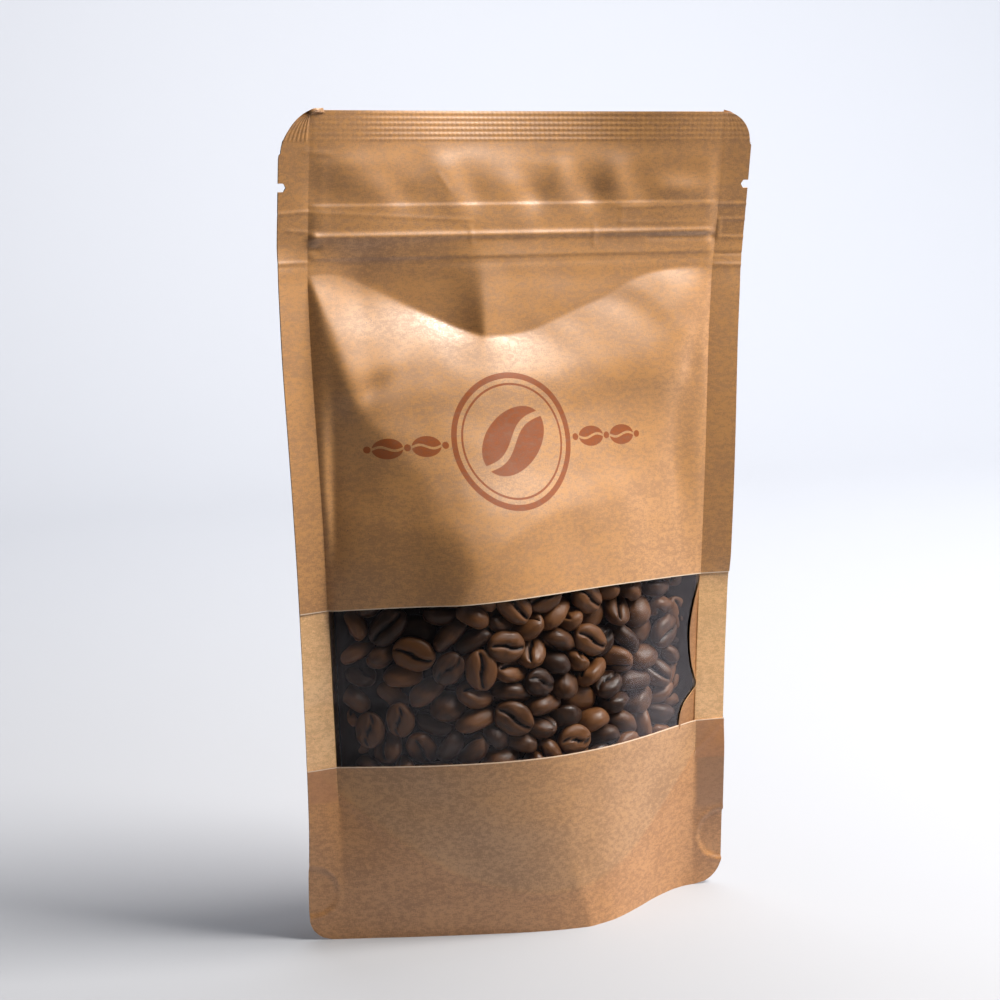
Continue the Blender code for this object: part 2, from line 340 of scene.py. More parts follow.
@dataclass(frozen=True)
class PouchForm:
    """The pouch's shape: where each point of the flat panels lies once it is filled and stands."""

    height: float = 208 * MM
    flat_width: float = 130 * MM
    top_corners: tuple[float, float] = (11 * MM, 8 * MM)
    bottom_corners: tuple[float, float] = (5.5 * MM, 8 * MM)
    corner_step: float = 0.5 * MM
    seam: float = 8 * MM
    paper: float = 0.28 * MM
    top_seal: float = 8 * MM
    kink: float = 170 * MM
    kink_depth: float = 3.2 * MM
    kink_reach: float = 3 * MM
    kink_dip: float = 0.25 * MM
    lean_start: float = 95 * MM
    header_hollow: float = 6.0 * MM
    hollow_start: float = 176 * MM
    hollow_middle: float = -5 * MM
    hollow_power: float = 1.25
    header_droop: float = 1.8 * MM
    droop_span: tuple[float, float] = (18 * MM, 46 * MM)
    zipper: float = 177.2 * MM
    zipper_ridge: float = 0.36 * MM
    zipper_radius: float = 0.8 * MM
    zipper_low: float = 171.5 * MM
    zipper_high: float = 185.0 * MM
    zipper_side: float = 1.5 * MM
    strip_edge: float = 0.4 * MM
    strip_step: float = 0.2 * MM
    fold_tip: float = -9.8 * MM
    fold_left_line: Curve = Curve(
        (-57, -51, -45, -37, -29, -22, -16, -9.8),
        (167.6, 168.0, 166.8, 163.4, 159.4, 155.9, 152.9, 150.8), MM,
    )
    fold_right_line: Curve = Curve(
        (-9.8, -3, 3, 9, 16, 24, 31, 38, 48, 57),
        (150.8, 150.9, 151.9, 154.2, 157.2, 160.3, 164.2, 166.6, 167.6, 167.4), MM,
    )
    fold_round: float = 0.5 * MM
    fold_soften: float = 1.2
    fold_ease: float = 16 * MM
    header_depth: float = 0.35 * MM
    header_side: float = 4 * MM
    header_top: float = 6 * MM
    fold_start: float = 176 * MM
    fold_left: float = -2.0 * MM
    fold_right: float = 0.3 * MM
    nose: float = 2.6 * MM
    nose_left: float = 5.5 * MM
    nose_right: float = 28 * MM
    nose_spread: float = 0.9
    tip_round: float = 1.0 * MM
    tip_round_below: float = 1.5
    tip_round_above: float = 0.14
    header_power: float = 1.7
    rise_power: float = 1.25
    rise_length: Curve = Curve((-57, -38, -20, 0, 25, 38, 50), (98, 92, 60, 47, 43, 37, 33), MM)
    side_ramp: float = 1.6 * MM
    notch_height: float = 189.3 * MM
    notch_half: float = 1.05 * MM
    notch_slot: float = 1.4 * MM
    notch_depth: float = 2.0 * MM
    window_low: float = 45.0 * MM
    window_high: float = 85.0 * MM
    window_tilt: float = 0.016
    foot_left: float = 4.1 * MM
    foot_right: float = 0.5 * MM
    foot_start: float = 8 * MM
    foot_top: float = 40 * MM
    foot_fade: Curve = Curve((0, 20, 45, 60), (1.0, 0.85, 0.2, 0.0))
    half_width: Curve = Curve((0, 40, 85, 130, 168, 176, 208), (59.7, 59.7, 61.0, 63.0, 64.7, 65, 65), MM)
    left_flap: Curve = Curve(
        (0, 16, 30, 50, 110, 140, 168, 176, 208), (17.0, 15.0, 2.0, -8.0, -12.0, -12.0, -10.0, -3.0, -2.0)
    )
    right_flap: Curve = Curve(
        (0, 37, 48, 82, 92, 160, 176, 208), (-6.0, -13.0, -7.0, -7.0, -13.0, -10.0, -5.0, -6.0)
    )
    crest_round: Curve = Curve((0, 12, 35, 90, 120, 140, 168), (0.10, 0.14, 0.3, 0.42, 0.4, 0.14, 0.10))
    left_facet: Curve = Curve((80, 100, 115, 130, 140, 155, 168), (2.4, 1.2, 0.8, 0.64, 0.62, 0.60, 0.60))
    right_facet: Curve = Curve((80, 100, 115, 130, 140, 155, 168), (2.4, 1.2, 0.78, 0.56, 0.50, 0.46, 0.45))
    facet_round: Curve = Curve((80, 100, 115, 130, 140, 155, 168), (1.0, 3.0, 6.0, 5.0, 2.2, 1.0, 0.4))
    facet_start: float = 3 * MM
    lift_most: Curve = Curve((0, 45, 85, 110, 150, 170, 208), (0.0, 1.0, 2.0, 2.0, 1.0, 0.0, 0.0), MM)
    sway: Curve = Curve((0, 30, 60, 110, 145, 165, 176, 208), (0.2, 0.5, 0.6, 1.0, 1.1, 0.6, 0.1, 0.0), MM)
    gusset_low: float = 9.5 * MM
    gusset_rise: float = 29.0 * MM
    gusset_half: float = 58 * MM
    gusset_seam: float = 0.12 * MM
    gusset_seam_half: float = 0.9 * MM
    wave_side: float = 5 * MM
    wave_top: float = 4 * MM
    wave_on_seam: float = 0.25
    wave_large: tuple[float, float] = (0.30 * MM, 21 * MM)
    wave_small: tuple[float, float] = (0.09 * MM, 7 * MM)
    front_sections: tuple[Section, ...] = (
        Section(0, 20.5, 8, 1.2, 1.0, 1.6, 1.8),
        Section(22, 20.8, 4, 1.35, 1.0, 1.75, 1.45),
        Section(45, 20.3, -2, 1.55, 1.0, 1.85, 1.15),
        Section(65, 19.4, -9, 1.55, 1.0, 1.6, 1.1),
        Section(85, 18.6, -16, 1.5, 1.0, 1.25, 1.0),
        Section(105, 18.0, -23, 1.4, 1.0, 1.1, 1.0),
        Section(120, 17.6, -31, 1.3, 1.0, 1.2, 1.0),
        Section(134, 17.0, -44, 1.1, 1.0, 2.2, 1.0),
        Section(145, 16.5, -50, 1.1, 1.0, 5.0, 1.0),
        Section(156, 16.0, -54, 1.1, 1.0, 8.0, 1.0),
        Section(168, 15.0, -56, 1.1, 1.0, 12.0, 1.0),
    )
    back_sections: tuple[Section, ...] = (
        Section(0, 21.0, 0.0, 1.5, 1.3, 1.5, 1.3),
        Section(40, 20.0, 0.0, 6.0, 1.0, 6.0, 1.0),
        Section(92, 17.5, 0.0, 6.0, 1.0, 6.0, 1.0),
        Section(115, 14.5, 0.0, 2.6, 1.1, 2.6, 1.1),
        Section(141, 11.5, 0.0, 2.4, 1.1, 2.4, 1.1),
        Section(158, 8.0, 0.0, 3.0, 1.1, 3.0, 1.1),
        Section(172, 4.0, 0.0, 3.0, 1.1, 3.0, 1.1),
        Section(184, 0.6, 0.0, 2.0, 1.5, 2.0, 1.5),
    )
    header_relief: Relief = (
        Dent(-53, 188, 5, 4.5, -0.50),
        Dent(-46, 194, 6, 4, 0.35, -20),
        Dent(-40, 189, 5, 4, 0.45),
        Dent(-31, 187, 4.5, 4, -0.50),
        Dent(-27, 195, 6, 3, -0.30, 15),
        Dent(-20, 190, 4.2, 8, 0.50, 25),
        Dent(-12, 187, 3.5, 4, -0.45),
        Dent(-3, 190, 4, 4.5, 0.40),
        Dent(5, 187, 3.5, 3.5, -0.60),
        Dent(12, 191, 3.6, 5, 0.60),
        Dent(20.5, 187.5, 3.5, 3.8, -0.65),
        Dent(27, 191, 3.6, 5, 0.65),
        Dent(35, 188, 4, 3.5, -0.35),
        Dent(44, 194, 10, 4, -0.45),
        Dent(46, 188, 8, 2.6, 0.45),
        Line((-58, 198.0), (-51.5, 197.3), 0.12),
        Line((-22, 192.0), (-19.5, 188.5), 0.12),
        Line((-57.2, 207), (-57.2, 171), -0.05, 0.6),
        Line((57.4, 206), (57.4, 185), 0.06, 0.8),
    )
    zipper_relief_lines: Relief = (
        Line((-57, 183.2), (-14, 180.9), 0.07),
        Line((28.8, 183.6), (57.2, 184.0), 0.09),
        Line((28.8, 179.8), (57.2, 179.3), 0.06),
        Line((28.8, 183.4), (28.8, 175.5), 0.09, 0.4),
        Line((21.0, 178.8), (21.0, 174.6), 0.20, 0.4),
        Line((-13.8, 179.0), (-13.2, 175.0), 0.16, 0.4),
        Dent(-55.6, 176.8, 1.5, 1.4, 0.4),
        Dent(-55.4, 174.2, 1.6, 1.0, -0.3),
        Line((57.7, 175.6), (57.7, 179.2), 0.20, 0.45),
        Dent(55.8, 176.2, 0.8, 1.8, -0.30),
        Line((38, 175.8), (56, 175.4), -0.15, 0.8),
    )
    flap_relief: Relief = (
        Line((-65.5, 182.8), (-57.5, 183.4), 0.16),
        Line((-62, 178.7), (-57.5, 178.4), 0.12),
        Line((-65.5, 170.8), (-57.5, 170.9), 0.16),
        Line((57.8, 184.0), (65.5, 184.0), 0.16),
        Line((57.8, 180.0), (65.5, 180.0), 0.14),
        Line((58.2, 175.4), (65.5, 175.2), 0.14),
        Line((57.8, 171.0), (65.5, 171.0), -0.16),
        Line((57.8, 168.2), (65.5, 168.0), 0.14),
        Spot(-64.5, 12.5, 6.3, 0.32),
        Spot(65.0, 13.8, 6.8, 0.55),
    )
    panel_relief: Relief = (
        Dent(-42.5, 139, 5, 2.6, -0.9, 35),
        Dent(-37, 144, 5, 3, 0.30, 35),
        Dent(51, 141, 3.2, 4.5, -0.45),
        Dent(44, 132, 5, 9, 0.25),
        Dent(36, 108, 6, 10, -0.30, 15),
        Dent(-28, 100, 9, 6, 0.25, -30),
        Dent(12, 96, 14, 4, -0.20, 8),
        Dent(-8, 28, 16, 5, 0.20, -12),
        Dent(24, 33, 10, 6, -0.25, 20),
        Dent(-36, 36, 9, 5, -0.20, -25),
        Line((7.5, 12), (10.5, 1), 0.35, 2.6),
    )

    @property
    def flat_seam(self) -> float:
        """Half of the flat width between the inner edges of the side seams."""
        return self.flat_width / 2 - self.seam

    def corner_inset(self, u: Array, v: Array) -> Array:
        """How far the rounded corners take the side edges in at height v of the flat panel."""
        upper = np.where(u < 0, *self.top_corners)
        lower = np.where(u < 0, *self.bottom_corners)
        top = np.clip(v - (self.height - upper), 0.0, upper)
        low = np.clip(lower - v, 0.0, lower)
        inset = upper - np.sqrt(upper**2 - top**2) + self.corner_step * (top > 0)
        return inset + lower - np.sqrt(lower**2 - low**2)

    def seam_line(self, v: Array) -> Array:
        """Half of the width between the inner edges of the side seams."""
        return self.half_width.at(v) - self.seam

    def middle(self, x: Array, v: Array) -> Array:
        """Y of the sheet in which the seams lie: bent back at the kink, hollow across the header."""
        above = (self.height - v) / (self.height - self.kink)
        below = ease(v, self.lean_start, 2 * self.kink - self.lean_start) * 2.0
        bend = self.kink_depth * np.where(v > self.kink, above, below)
        bend = bend - self.kink_dip * hump(v, self.kink, self.kink_reach)
        rise = np.clip((v - self.hollow_start) / (self.height - self.hollow_start), 0.0, 1.0)
        hollow = self.header_hollow * rise**self.hollow_power
        aside = x - self.hollow_middle
        off = np.abs(aside) / (self.seam_line(v) - np.sign(aside) * self.hollow_middle)
        across = np.cos(0.5 * math.pi * np.clip(off, 0.0, 1.0)) ** 2
        droop = self.header_droop * rise * ease(x, *self.droop_span)
        return bend + hollow * across - droop + self.flap_bend(x, v) + self.foot(x, v)

    def foot(self, x: Array, v: Array) -> Array:
        """How far the seams' lower ends stand forward at the left (negative) and back at the right."""
        start, seam = self.foot_start, self.seam_line(v)
        left = self.foot_left * np.clip((start - x) / (start + seam), 0.0, 1.0) * self.foot_fade.at(v)
        right = self.foot_right * np.clip((x - start) / (seam - start), 0.0, 1.0)
        return right * ease(-v, -self.foot_top, 0.0) - left

    def flap_bend(self, x: Array, v: Array) -> Array:
        """How far back the side seams' outer parts lean (forward where negative)."""
        out = np.clip(np.abs(x) - self.seam_line(v), 0.0, None)
        return out * np.tan(np.radians(np.where(x < 0, self.left_flap.at(v), self.right_flap.at(v))))

    def bulge(self, sections: Sequence[Section], x: Array, v: Array) -> Array:
        """How far a panel stands out of the seams' plane.

        Args:
            sections: the panel's levels.
            x: places across.
            v: heights on the flat panel.

        Returns:
            The depth at each place, 0 on the seams.
        """
        heights = tuple(section.height for section in sections)
        depth, crest, left_power, left_flare, right_power, right_flare = (
            Curve(heights, tuple(getattr(section, name) for section in sections), unit).at(v)
            for name, unit in (("depth", MM), ("crest", MM), ("left_power", 1.0), ("left_flare", 1.0),
                               ("right_power", 1.0), ("right_flare", 1.0))
        )
        edge = self.seam_line(v)
        left = np.clip((crest - x) / (crest + edge), 0.0, 1.0)
        right = np.clip((x - crest) / (edge - crest), 0.0, 1.0)
        fall = np.where(
            x < crest,
            np.clip(1.0 - rounded(left, left_power, self.crest_round.at(v)), 0.0, 1.0) ** left_flare,
            np.clip(1.0 - rounded(right, right_power), 0.0, 1.0) ** right_flare,
        )
        return depth * fall

    def faceted(self, depth: Array, x: Array, v: Array) -> Array:
        """The depth cut off by the flat facets that run up from each seam to the shoulders."""
        soft, seam = MM * self.facet_round.at(v), self.seam_line(v)
        for slope, away in ((self.left_facet, seam + x), (self.right_facet, seam - x)):
            facet = slope.at(v) * np.clip(away, 0.0, None)
            blend = soft * ease(np.minimum(facet, depth), 0.0, self.facet_start)
            depth = 0.5 * (depth + facet - np.sqrt((depth - facet) ** 2 + blend**2))
        return depth

    def crease(self, x: Array, round_off: Array | float) -> Array:
        """Height of the crease from the left shoulder down to its tip and up to the right one.

        Args:
            x: places across.
            round_off: how widely the tip is rounded.

        Returns:
            The crease's height at each place.
        """
        tip = self.fold_tip
        away = np.sqrt((x - tip) ** 2 + round_off**2) - round_off
        return np.where(x < tip, self.fold_left_line.at(tip - away), self.fold_right_line.at(tip + away))

    def front_depth(self, x: Array, v: Array) -> Array:
        """How far the front panel stands before the seams' plane."""
        side = np.clip((self.seam_line(v) - np.abs(x)) / self.side_ramp, 0.0, 1.0)
        crease = self.crease(x, self.fold_round)
        off = x - self.fold_tip
        beneath, over = np.clip(crease - v, 0.0, None), np.clip(v - crease, 0.0, None)
        round_off = self.tip_round + self.tip_round_below * beneath + self.tip_round_above * over
        off = np.sign(off) * (np.sqrt(off**2 + round_off**2) - round_off)
        base = np.where(off < 0, self.fold_left, self.fold_right)
        nose_left = self.nose_left + self.nose_spread * beneath
        fade = np.exp(np.where(off < 0, off / nose_left, -off / self.nose_right))
        base_eased = base * ease(self.flat_seam - np.abs(x), 0.0, self.fold_ease)
        valley = (base_eased + (self.nose - base) * fade) * side
        wide_side = ease(self.seam_line(v) - np.abs(x), 0.0, self.header_side)
        flat = self.header_depth * wide_side * ease(self.height - self.top_seal - v, 0.0, self.header_top)
        reach = np.clip((self.fold_start - v) / (self.fold_start - crease), 0.0, 1.0)
        above = flat + (valley - flat) * (1.0 - (1.0 - reach) ** self.header_power)
        soft = self.crease(x, self.fold_round + self.fold_soften * beneath)
        rise = 1.0 - np.clip(1.0 - (soft - v) / self.rise_length.at(x), 0.0, 1.0) ** self.rise_power
        below = self.faceted(valley * (1.0 - rise) + self.bulge(self.front_sections, x, v) * rise, x, v)
        return np.where(v >= crease, above, below)

    def zipper_relief(self, v: Array) -> Array:
        """Relief of the zipper through the paper: its ridge and the strip that carries it."""
        ridge = self.zipper_ridge * hump(v, self.zipper, self.zipper_radius)
        edge = self.strip_edge
        strip = ease(v, self.zipper_low - edge, self.zipper_low + edge)
        strip = strip * ease(-v, -self.zipper_high - edge, -self.zipper_high + edge)
        return ridge + self.strip_step * strip

    def gusset_arc(self, u: Array) -> Array:
        """Height of the curved seal that joins the bottom gusset to a panel."""
        return self.gusset_low + self.gusset_rise * (np.abs(u) / self.gusset_half) ** 2

    def fine_relief(self, face: Face, u: Array, v: Array) -> Array:
        """Dents, creases and unevenness of a panel's paper, and the gusset's seal in it."""
        inside = self.flat_seam - np.abs(u)
        below_seal = self.height - self.top_seal - v
        on_panel = ease(inside, 0.0, self.wave_side) * ease(below_seal, 0.0, self.wave_top)
        seed = 0.0 if face is Face.FRONT else 9.0
        waves = self.wave_large[0] * unevenness(u, v, self.wave_large[1], seed + 1.5)
        waves = waves + self.wave_small[0] * unevenness(u, v * 1.3, self.wave_small[1], seed + 4.5)
        seal = self.gusset_seam * hump(v, self.gusset_arc(u), self.gusset_seam_half)
        relief = waves * (self.wave_on_seam + (1.0 - self.wave_on_seam) * on_panel) + seal
        relief = relief + self.zipper_relief(v) * ease(inside, 0.0, self.zipper_side)
        if face is Face.FRONT:
            relief = relief + self.pressed(self.zipper_relief_lines + self.panel_relief, u, v)
        return relief

    def pressed(self, features: Relief, u: Array, v: Array) -> Array:
        """Sum of some features of the relief."""
        return sum((feature.at(u, v) for feature in features), np.zeros(len(u)))

    def lift(self, x: Array, v: Array) -> Array:
        """How far the bulging front carries a point up."""
        share = np.clip(1.0 - (np.abs(x) / self.seam_line(v)) ** 2, 0.0, 1.0)
        return share * self.lift_most.at(v)

    def across(self, u: Array, v: Array) -> Array:
        """X of a point u across the flat panel at height v."""
        flat_half, flat_seam = self.flat_width / 2, self.flat_seam
        inner, outer = self.seam_line(v), self.half_width.at(v) - self.corner_inset(u, v)
        size = np.abs(u)
        body = inner * np.clip(size / flat_seam, 0.0, 1.0)
        share = np.clip((size - flat_seam) / (flat_half - flat_seam), 0.0, 1.0)
        return np.sign(u) * np.where(size <= flat_seam, body, inner + (outer - inner) * share)

    def place(self, face: Face, u: Array, v: Array, inward: Array | float = 0.0, fine: bool = True) -> Array:
        """Points of the standing pouch for points of a flat panel.

        Args:
            face: the panel.
            u: places across the flat panel, 0 in the middle.
            v: heights on the flat panel.
            inward: how far behind the panel's outer face.
            fine: whether the paper's fine relief is pressed in.

        Returns:
            One row of coordinates for each point.
        """
        x = self.across(u, v)
        if face is Face.FRONT:
            y = self.middle(x, v) - self.paper - self.front_depth(x, v) + inward
            z = v + self.lift(x, v)
        else:
            y = self.middle(x, v) + self.paper + self.bulge(self.back_sections, x, v) - inward
            z = v
        if fine:
            y = y + face.value * self.fine_relief(face, u, v)
            y = y - self.pressed(self.flap_relief + self.header_relief, u, v)
        return np.stack([x - self.sway.at(v), y, z], axis=1)


FORM = PouchForm()


class Graph:
    """A material's or node group's tree, written as formulas."""

    def __init__(self, tree: bpy.types.NodeTree) -> None:
        """Work on a tree."""
        self.tree = tree

    def add(self, kind: str, **settings: object) -> bpy.types.Node:
        """Add a node with some of its settings."""
        node = self.tree.nodes.new(kind)
        tune(node, **settings)
        return node

    def feed(self, socket: Socket, value: object) -> None:
        """Link a socket to another one, or set it to a plain value."""
        if isinstance(value, bpy.types.NodeSocket):
            self.tree.links.new(value, socket)
        else:
            socket.default_value = value

    def wire(self, node: bpy.types.Node, **values: object) -> bpy.types.Node:
        """Feed a node's inputs by their names, with _ for a space, and return it."""
        for name, value in values.items():
            self.feed(node.inputs[name.replace("_", " ")], value)
        return node

    def maths(self, operation: str, *values: object) -> Socket:
        """A Math node's result."""
        node = self.add("ShaderNodeMath", operation=operation)
        for socket, value in zip(node.inputs, values):
            self.feed(socket, value)
        return node.outputs[0]

    def product(self, first: object, second: object) -> Socket:
        """Two values multiplied."""
        return self.maths("MULTIPLY", first, second)

    def reach(self, across: Socket, up: Socket) -> Socket:
        """The distance of a place from the middle."""
        squares = (self.maths("POWER", side, 2.0) for side in (across, up))
        return self.maths("SQRT", self.maths("ADD", *squares))

    def within(self, value: Socket, low: float, high: float) -> Socket:
        """1 where a value lies between two numbers, 0 elsewhere."""
        return self.product(self.maths("GREATER_THAN", value, low), self.maths("LESS_THAN", value, high))

    def parts(self, vector: Socket) -> Sequence[Socket]:
        """A vector's three coordinates."""
        return self.wire(self.add("ShaderNodeSeparateXYZ"), Vector=vector).outputs

    def turned(self, vector: Socket, scale: Sequence[float], degrees: float = 0.0,
               shift: Sequence[float] = (0.0, 0.0, 0.0)) -> Socket:
        """A vector stretched, turned about Z and shifted."""
        rotation = (0.0, 0.0, math.radians(degrees))
        node = self.add("ShaderNodeMapping")
        return self.wire(node, Scale=scale, Rotation=rotation, Location=shift, Vector=vector).outputs[0]

    def noise(self, vector: Socket, scale: float, detail: float = 2.0, roughness: float = 0.5) -> Socket:
        """A noise pattern's value."""
        node = self.add("ShaderNodeTexNoise")
        return self.wire(node, Scale=scale, Detail=detail, Roughness=roughness, Vector=vector).outputs[0]

    def weave(self, place: Socket, scale: Sequence[float], degrees: float = 0.0,
              shift: Sequence[float] = (0.0, 0.0, 0.0), detail: float = 1.0,
              roughness: float = 0.5) -> Socket:
        """A noise pattern that is stretched, turned and shifted over a sheet."""
        return self.noise(self.turned(place, scale, degrees, shift), 1.0, detail, roughness)

    def spread(self, value: Socket, low: float, high: float, to_low: float = 0.0,
               to_high: float = 1.0) -> Socket:
        """A value eased from one range to another, and held at its ends."""
        node = self.add("ShaderNodeMapRange", interpolation_type="SMOOTHSTEP")
        for socket, number in zip(node.inputs, (value, low, high, to_low, to_high)):
            self.feed(socket, number)
        return node.outputs[0]

    def blend(self, share: object, first: object, second: object) -> Socket:
        """Two colours mixed."""
        node = self.add("ShaderNodeMix", data_type="RGBA")
        for socket, value in zip((node.inputs[0], node.inputs[6], node.inputs[7]), (share, first, second)):
            self.feed(socket, (*value, 1.0) if isinstance(value, tuple) else value)
        return node.outputs[2]

    def group(self, group: bpy.types.NodeTree, **values: object) -> bpy.types.Node:
        """Place a node group with its inputs, by their names."""
        return self.wire(self.add("ShaderNodeGroup", node_tree=group), **values)

    def bumped(self, height: Socket, strength: float, distance: float) -> Socket:
        """A normal pressed by a height."""
        node = self.add("ShaderNodeBump")
        return self.wire(node, Strength=strength, Distance=distance, Height=height).outputs[0]


def new_group(name: str, inputs: Sequence[tuple[str, str, float]], outputs: Sequence[tuple[str, str]]
              ) -> tuple[Graph, bpy.types.Node, bpy.types.Node]:
    """Start a shader node group.

    Args:
        name: the group's name.
        inputs: name, socket type and default value of each input (ignored for vectors).
        outputs: name and socket type of each output.

    Returns:
        The group's graph, and its input and output nodes.
    """
    tree = bpy.data.node_groups.new(name, "ShaderNodeTree")
    for label, kind, value in inputs:
        socket = tree.interface.new_socket(name=label, in_out="INPUT", socket_type=kind)
        if kind == "NodeSocketFloat":
            socket.default_value = value
    for label, kind in outputs:
        tree.interface.new_socket(name=label, in_out="OUTPUT", socket_type=kind)
    graph = Graph(tree)
    return graph, graph.add("NodeGroupInput"), graph.add("NodeGroupOutput")


def new_material(name: str) -> tuple[bpy.types.Material, Graph, bpy.types.Node]:
    """Start a material, and return it with its graph and its Principled shader."""
    material = bpy.data.materials.new(name)
    material.use_nodes = True
    return material, Graph(material.node_tree), material.node_tree.nodes["Principled BSDF"]


def flat_millimetres(graph: Graph) -> Socket:
    """The flat sheet's own coordinates in millimetres, 0 at the middle of its bottom edge."""
    source = graph.add("ShaderNodeUVMap", uv_map=FLAT_UV)
    size = FORM.height / MM
    return graph.turned(source.outputs[0], (size, size, 1.0), 0.0, (-0.5 * size, 0.0, 0.0))


def build_paper_fibres() -> bpy.types.NodeTree:
    """Build the group that gives kraft paper its clouds, strands and specks, from millimetres."""
    graph, source, result = new_group(
        "paper_fibres",
        (("Vector", "NodeSocketVector", 0.0), ("Contrast", "NodeSocketFloat", 1.0)),
        (("Shade", "NodeSocketFloat"), ("Specks", "NodeSocketFloat"), ("Height", "NodeSocketFloat")),
    )
    place = source.outputs["Vector"]
    clouds = graph.weave(place, (0.07, 0.11, 1.0), 8.0, detail=3.0, roughness=0.6)
    mottle = graph.weave(place, (0.55, 0.95, 1.0), -4.0, (7.0, 3.0, 0.0), 3.0, 0.65)
    strands = graph.weave(place, (0.75, 5.0, 1.0), 3.0, (1.0, 9.0, 0.0), 2.0, 0.6)
    cross = graph.weave(place, (4.2, 1.1, 1.0), 24.0, (5.0, 2.0, 0.0), 2.0, 0.6)
    grain = graph.weave(place, (3.1, 3.6, 1.0), 15.0, (2.0, 5.0, 0.0))
    total = graph.maths("MULTIPLY_ADD", clouds, 0.8, -0.4)
    for pattern, weight in ((mottle, 1.5), (strands, 0.8), (cross, 0.8), (grain, 0.6)):
        centred = graph.maths("MULTIPLY_ADD", pattern, weight, -0.5 * weight)
        total = graph.maths("ADD", total, centred)
    shade = graph.maths("MULTIPLY_ADD", total, source.outputs["Contrast"], 0.5)
    shade.node.use_clamp = True
    grains = graph.weave(place, (1.5, 2.1, 1.0), 35.0)
    patches = graph.weave(place, (0.16, 0.16, 1.0), 0.0, (3.0, 8.0, 0.0))
    specks = graph.product(graph.spread(grains, 0.735, 0.775), graph.spread(patches, 0.45, 0.6))
    height = graph.maths("ADD", graph.product(strands, 0.6), graph.product(mottle, 0.4))
    graph.wire(result, Shade=shade, Specks=specks, Height=height)
    return graph.tree


@dataclass(frozen=True)
class Stamp:
    """The plain ornament printed on the front: a ringed coffee bean between rows of small ones, in mm."""

    centre: tuple[float, float] = (-6.0, 124.0)
    ring: float = 16.6
    ring_half: float = 0.75
    line: float = 14.4
    line_half: float = 0.28
    bean: tuple[float, float] = (10.6, 7.2)
    bean_turn: float = -38.0
    small: tuple[float, float] = (3.9, 2.6)
    first_small: float = 24.0
    pitch: float = 10.0
    dot: float = 0.9
    dot_room: float = 2.0
    blur: float = 0.08

    def bean_mark(self, graph: Graph, across: Socket, up: Socket, half: tuple[float, float]) -> Socket:
        """Mask of a bean with its curved split."""
        long, wide = half
        reach = graph.maths("ADD", graph.maths("POWER", graph.maths("DIVIDE", across, long), 2.0),
                            graph.maths("POWER", graph.maths("DIVIDE", up, wide), 2.0))
        inside = graph.spread(reach, 1.03, 0.97)
        wave = graph.maths("SINE", graph.product(across, math.pi / long))
        split = graph.maths("ABSOLUTE", graph.maths("MULTIPLY_ADD", wave, -0.2 * wide, up))
        return graph.product(inside, graph.spread(split, 0.10 * wide, 0.14 * wide))

    def build(self) -> bpy.types.NodeTree:
        """Build the group that turns flat millimetres into the ink's mask."""
        graph, source, result = new_group("bean_stamp", (("Vector", "NodeSocketVector", 0.0),),
                                          (("Mask", "NodeSocketFloat"),))
        true_size = (1.0, 1.0, 1.0)
        shift = (-self.centre[0], -self.centre[1], 0.0)
        local = graph.turned(source.outputs["Vector"], true_size, 0.0, shift)
        across, up = graph.parts(local)[:2]
        reach = graph.reach(across, up)
        mask = self.circle(graph, reach, self.ring, self.ring_half)
        mask = graph.maths("MAXIMUM", mask, self.circle(graph, reach, self.line, self.line_half))
        turned = graph.parts(graph.turned(local, true_size, self.bean_turn))
        mask = graph.maths("MAXIMUM", mask, self.bean_mark(graph, turned[0], turned[1], self.bean))
        side = graph.maths("ABSOLUTE", across)
        half_pitch = 0.5 * self.pitch
        near = graph.maths("WRAP", graph.maths("SUBTRACT", side, self.first_small), half_pitch, -half_pitch)
        low, high = self.first_small - half_pitch, self.first_small + 1.5 * self.pitch
        small = graph.product(self.bean_mark(graph, near, up, self.small), graph.within(side, low, high))
        mask = graph.maths("MAXIMUM", mask, small)
        gap = graph.maths("WRAP", graph.maths("SUBTRACT", side, low), half_pitch, -half_pitch)
        dot = graph.spread(graph.reach(gap, up), self.dot + self.blur, self.dot - self.blur)
        dots = graph.product(dot, graph.within(side, low - self.dot_room, high + self.dot_room))
        graph.wire(result, Mask=graph.maths("MAXIMUM", mask, dots))
        return graph.tree

    def circle(self, graph: Graph, reach: Socket, radius: float, half: float) -> Socket:
        """Mask of a ring line."""
        away = graph.maths("ABSOLUTE", graph.maths("SUBTRACT", reach, radius))
        return graph.spread(away, half + self.blur, half - self.blur)


def scaled(colour: Colour, gain: float) -> Colour:
    """A colour made lighter or darker."""
    return tuple(gain * part for part in colour)


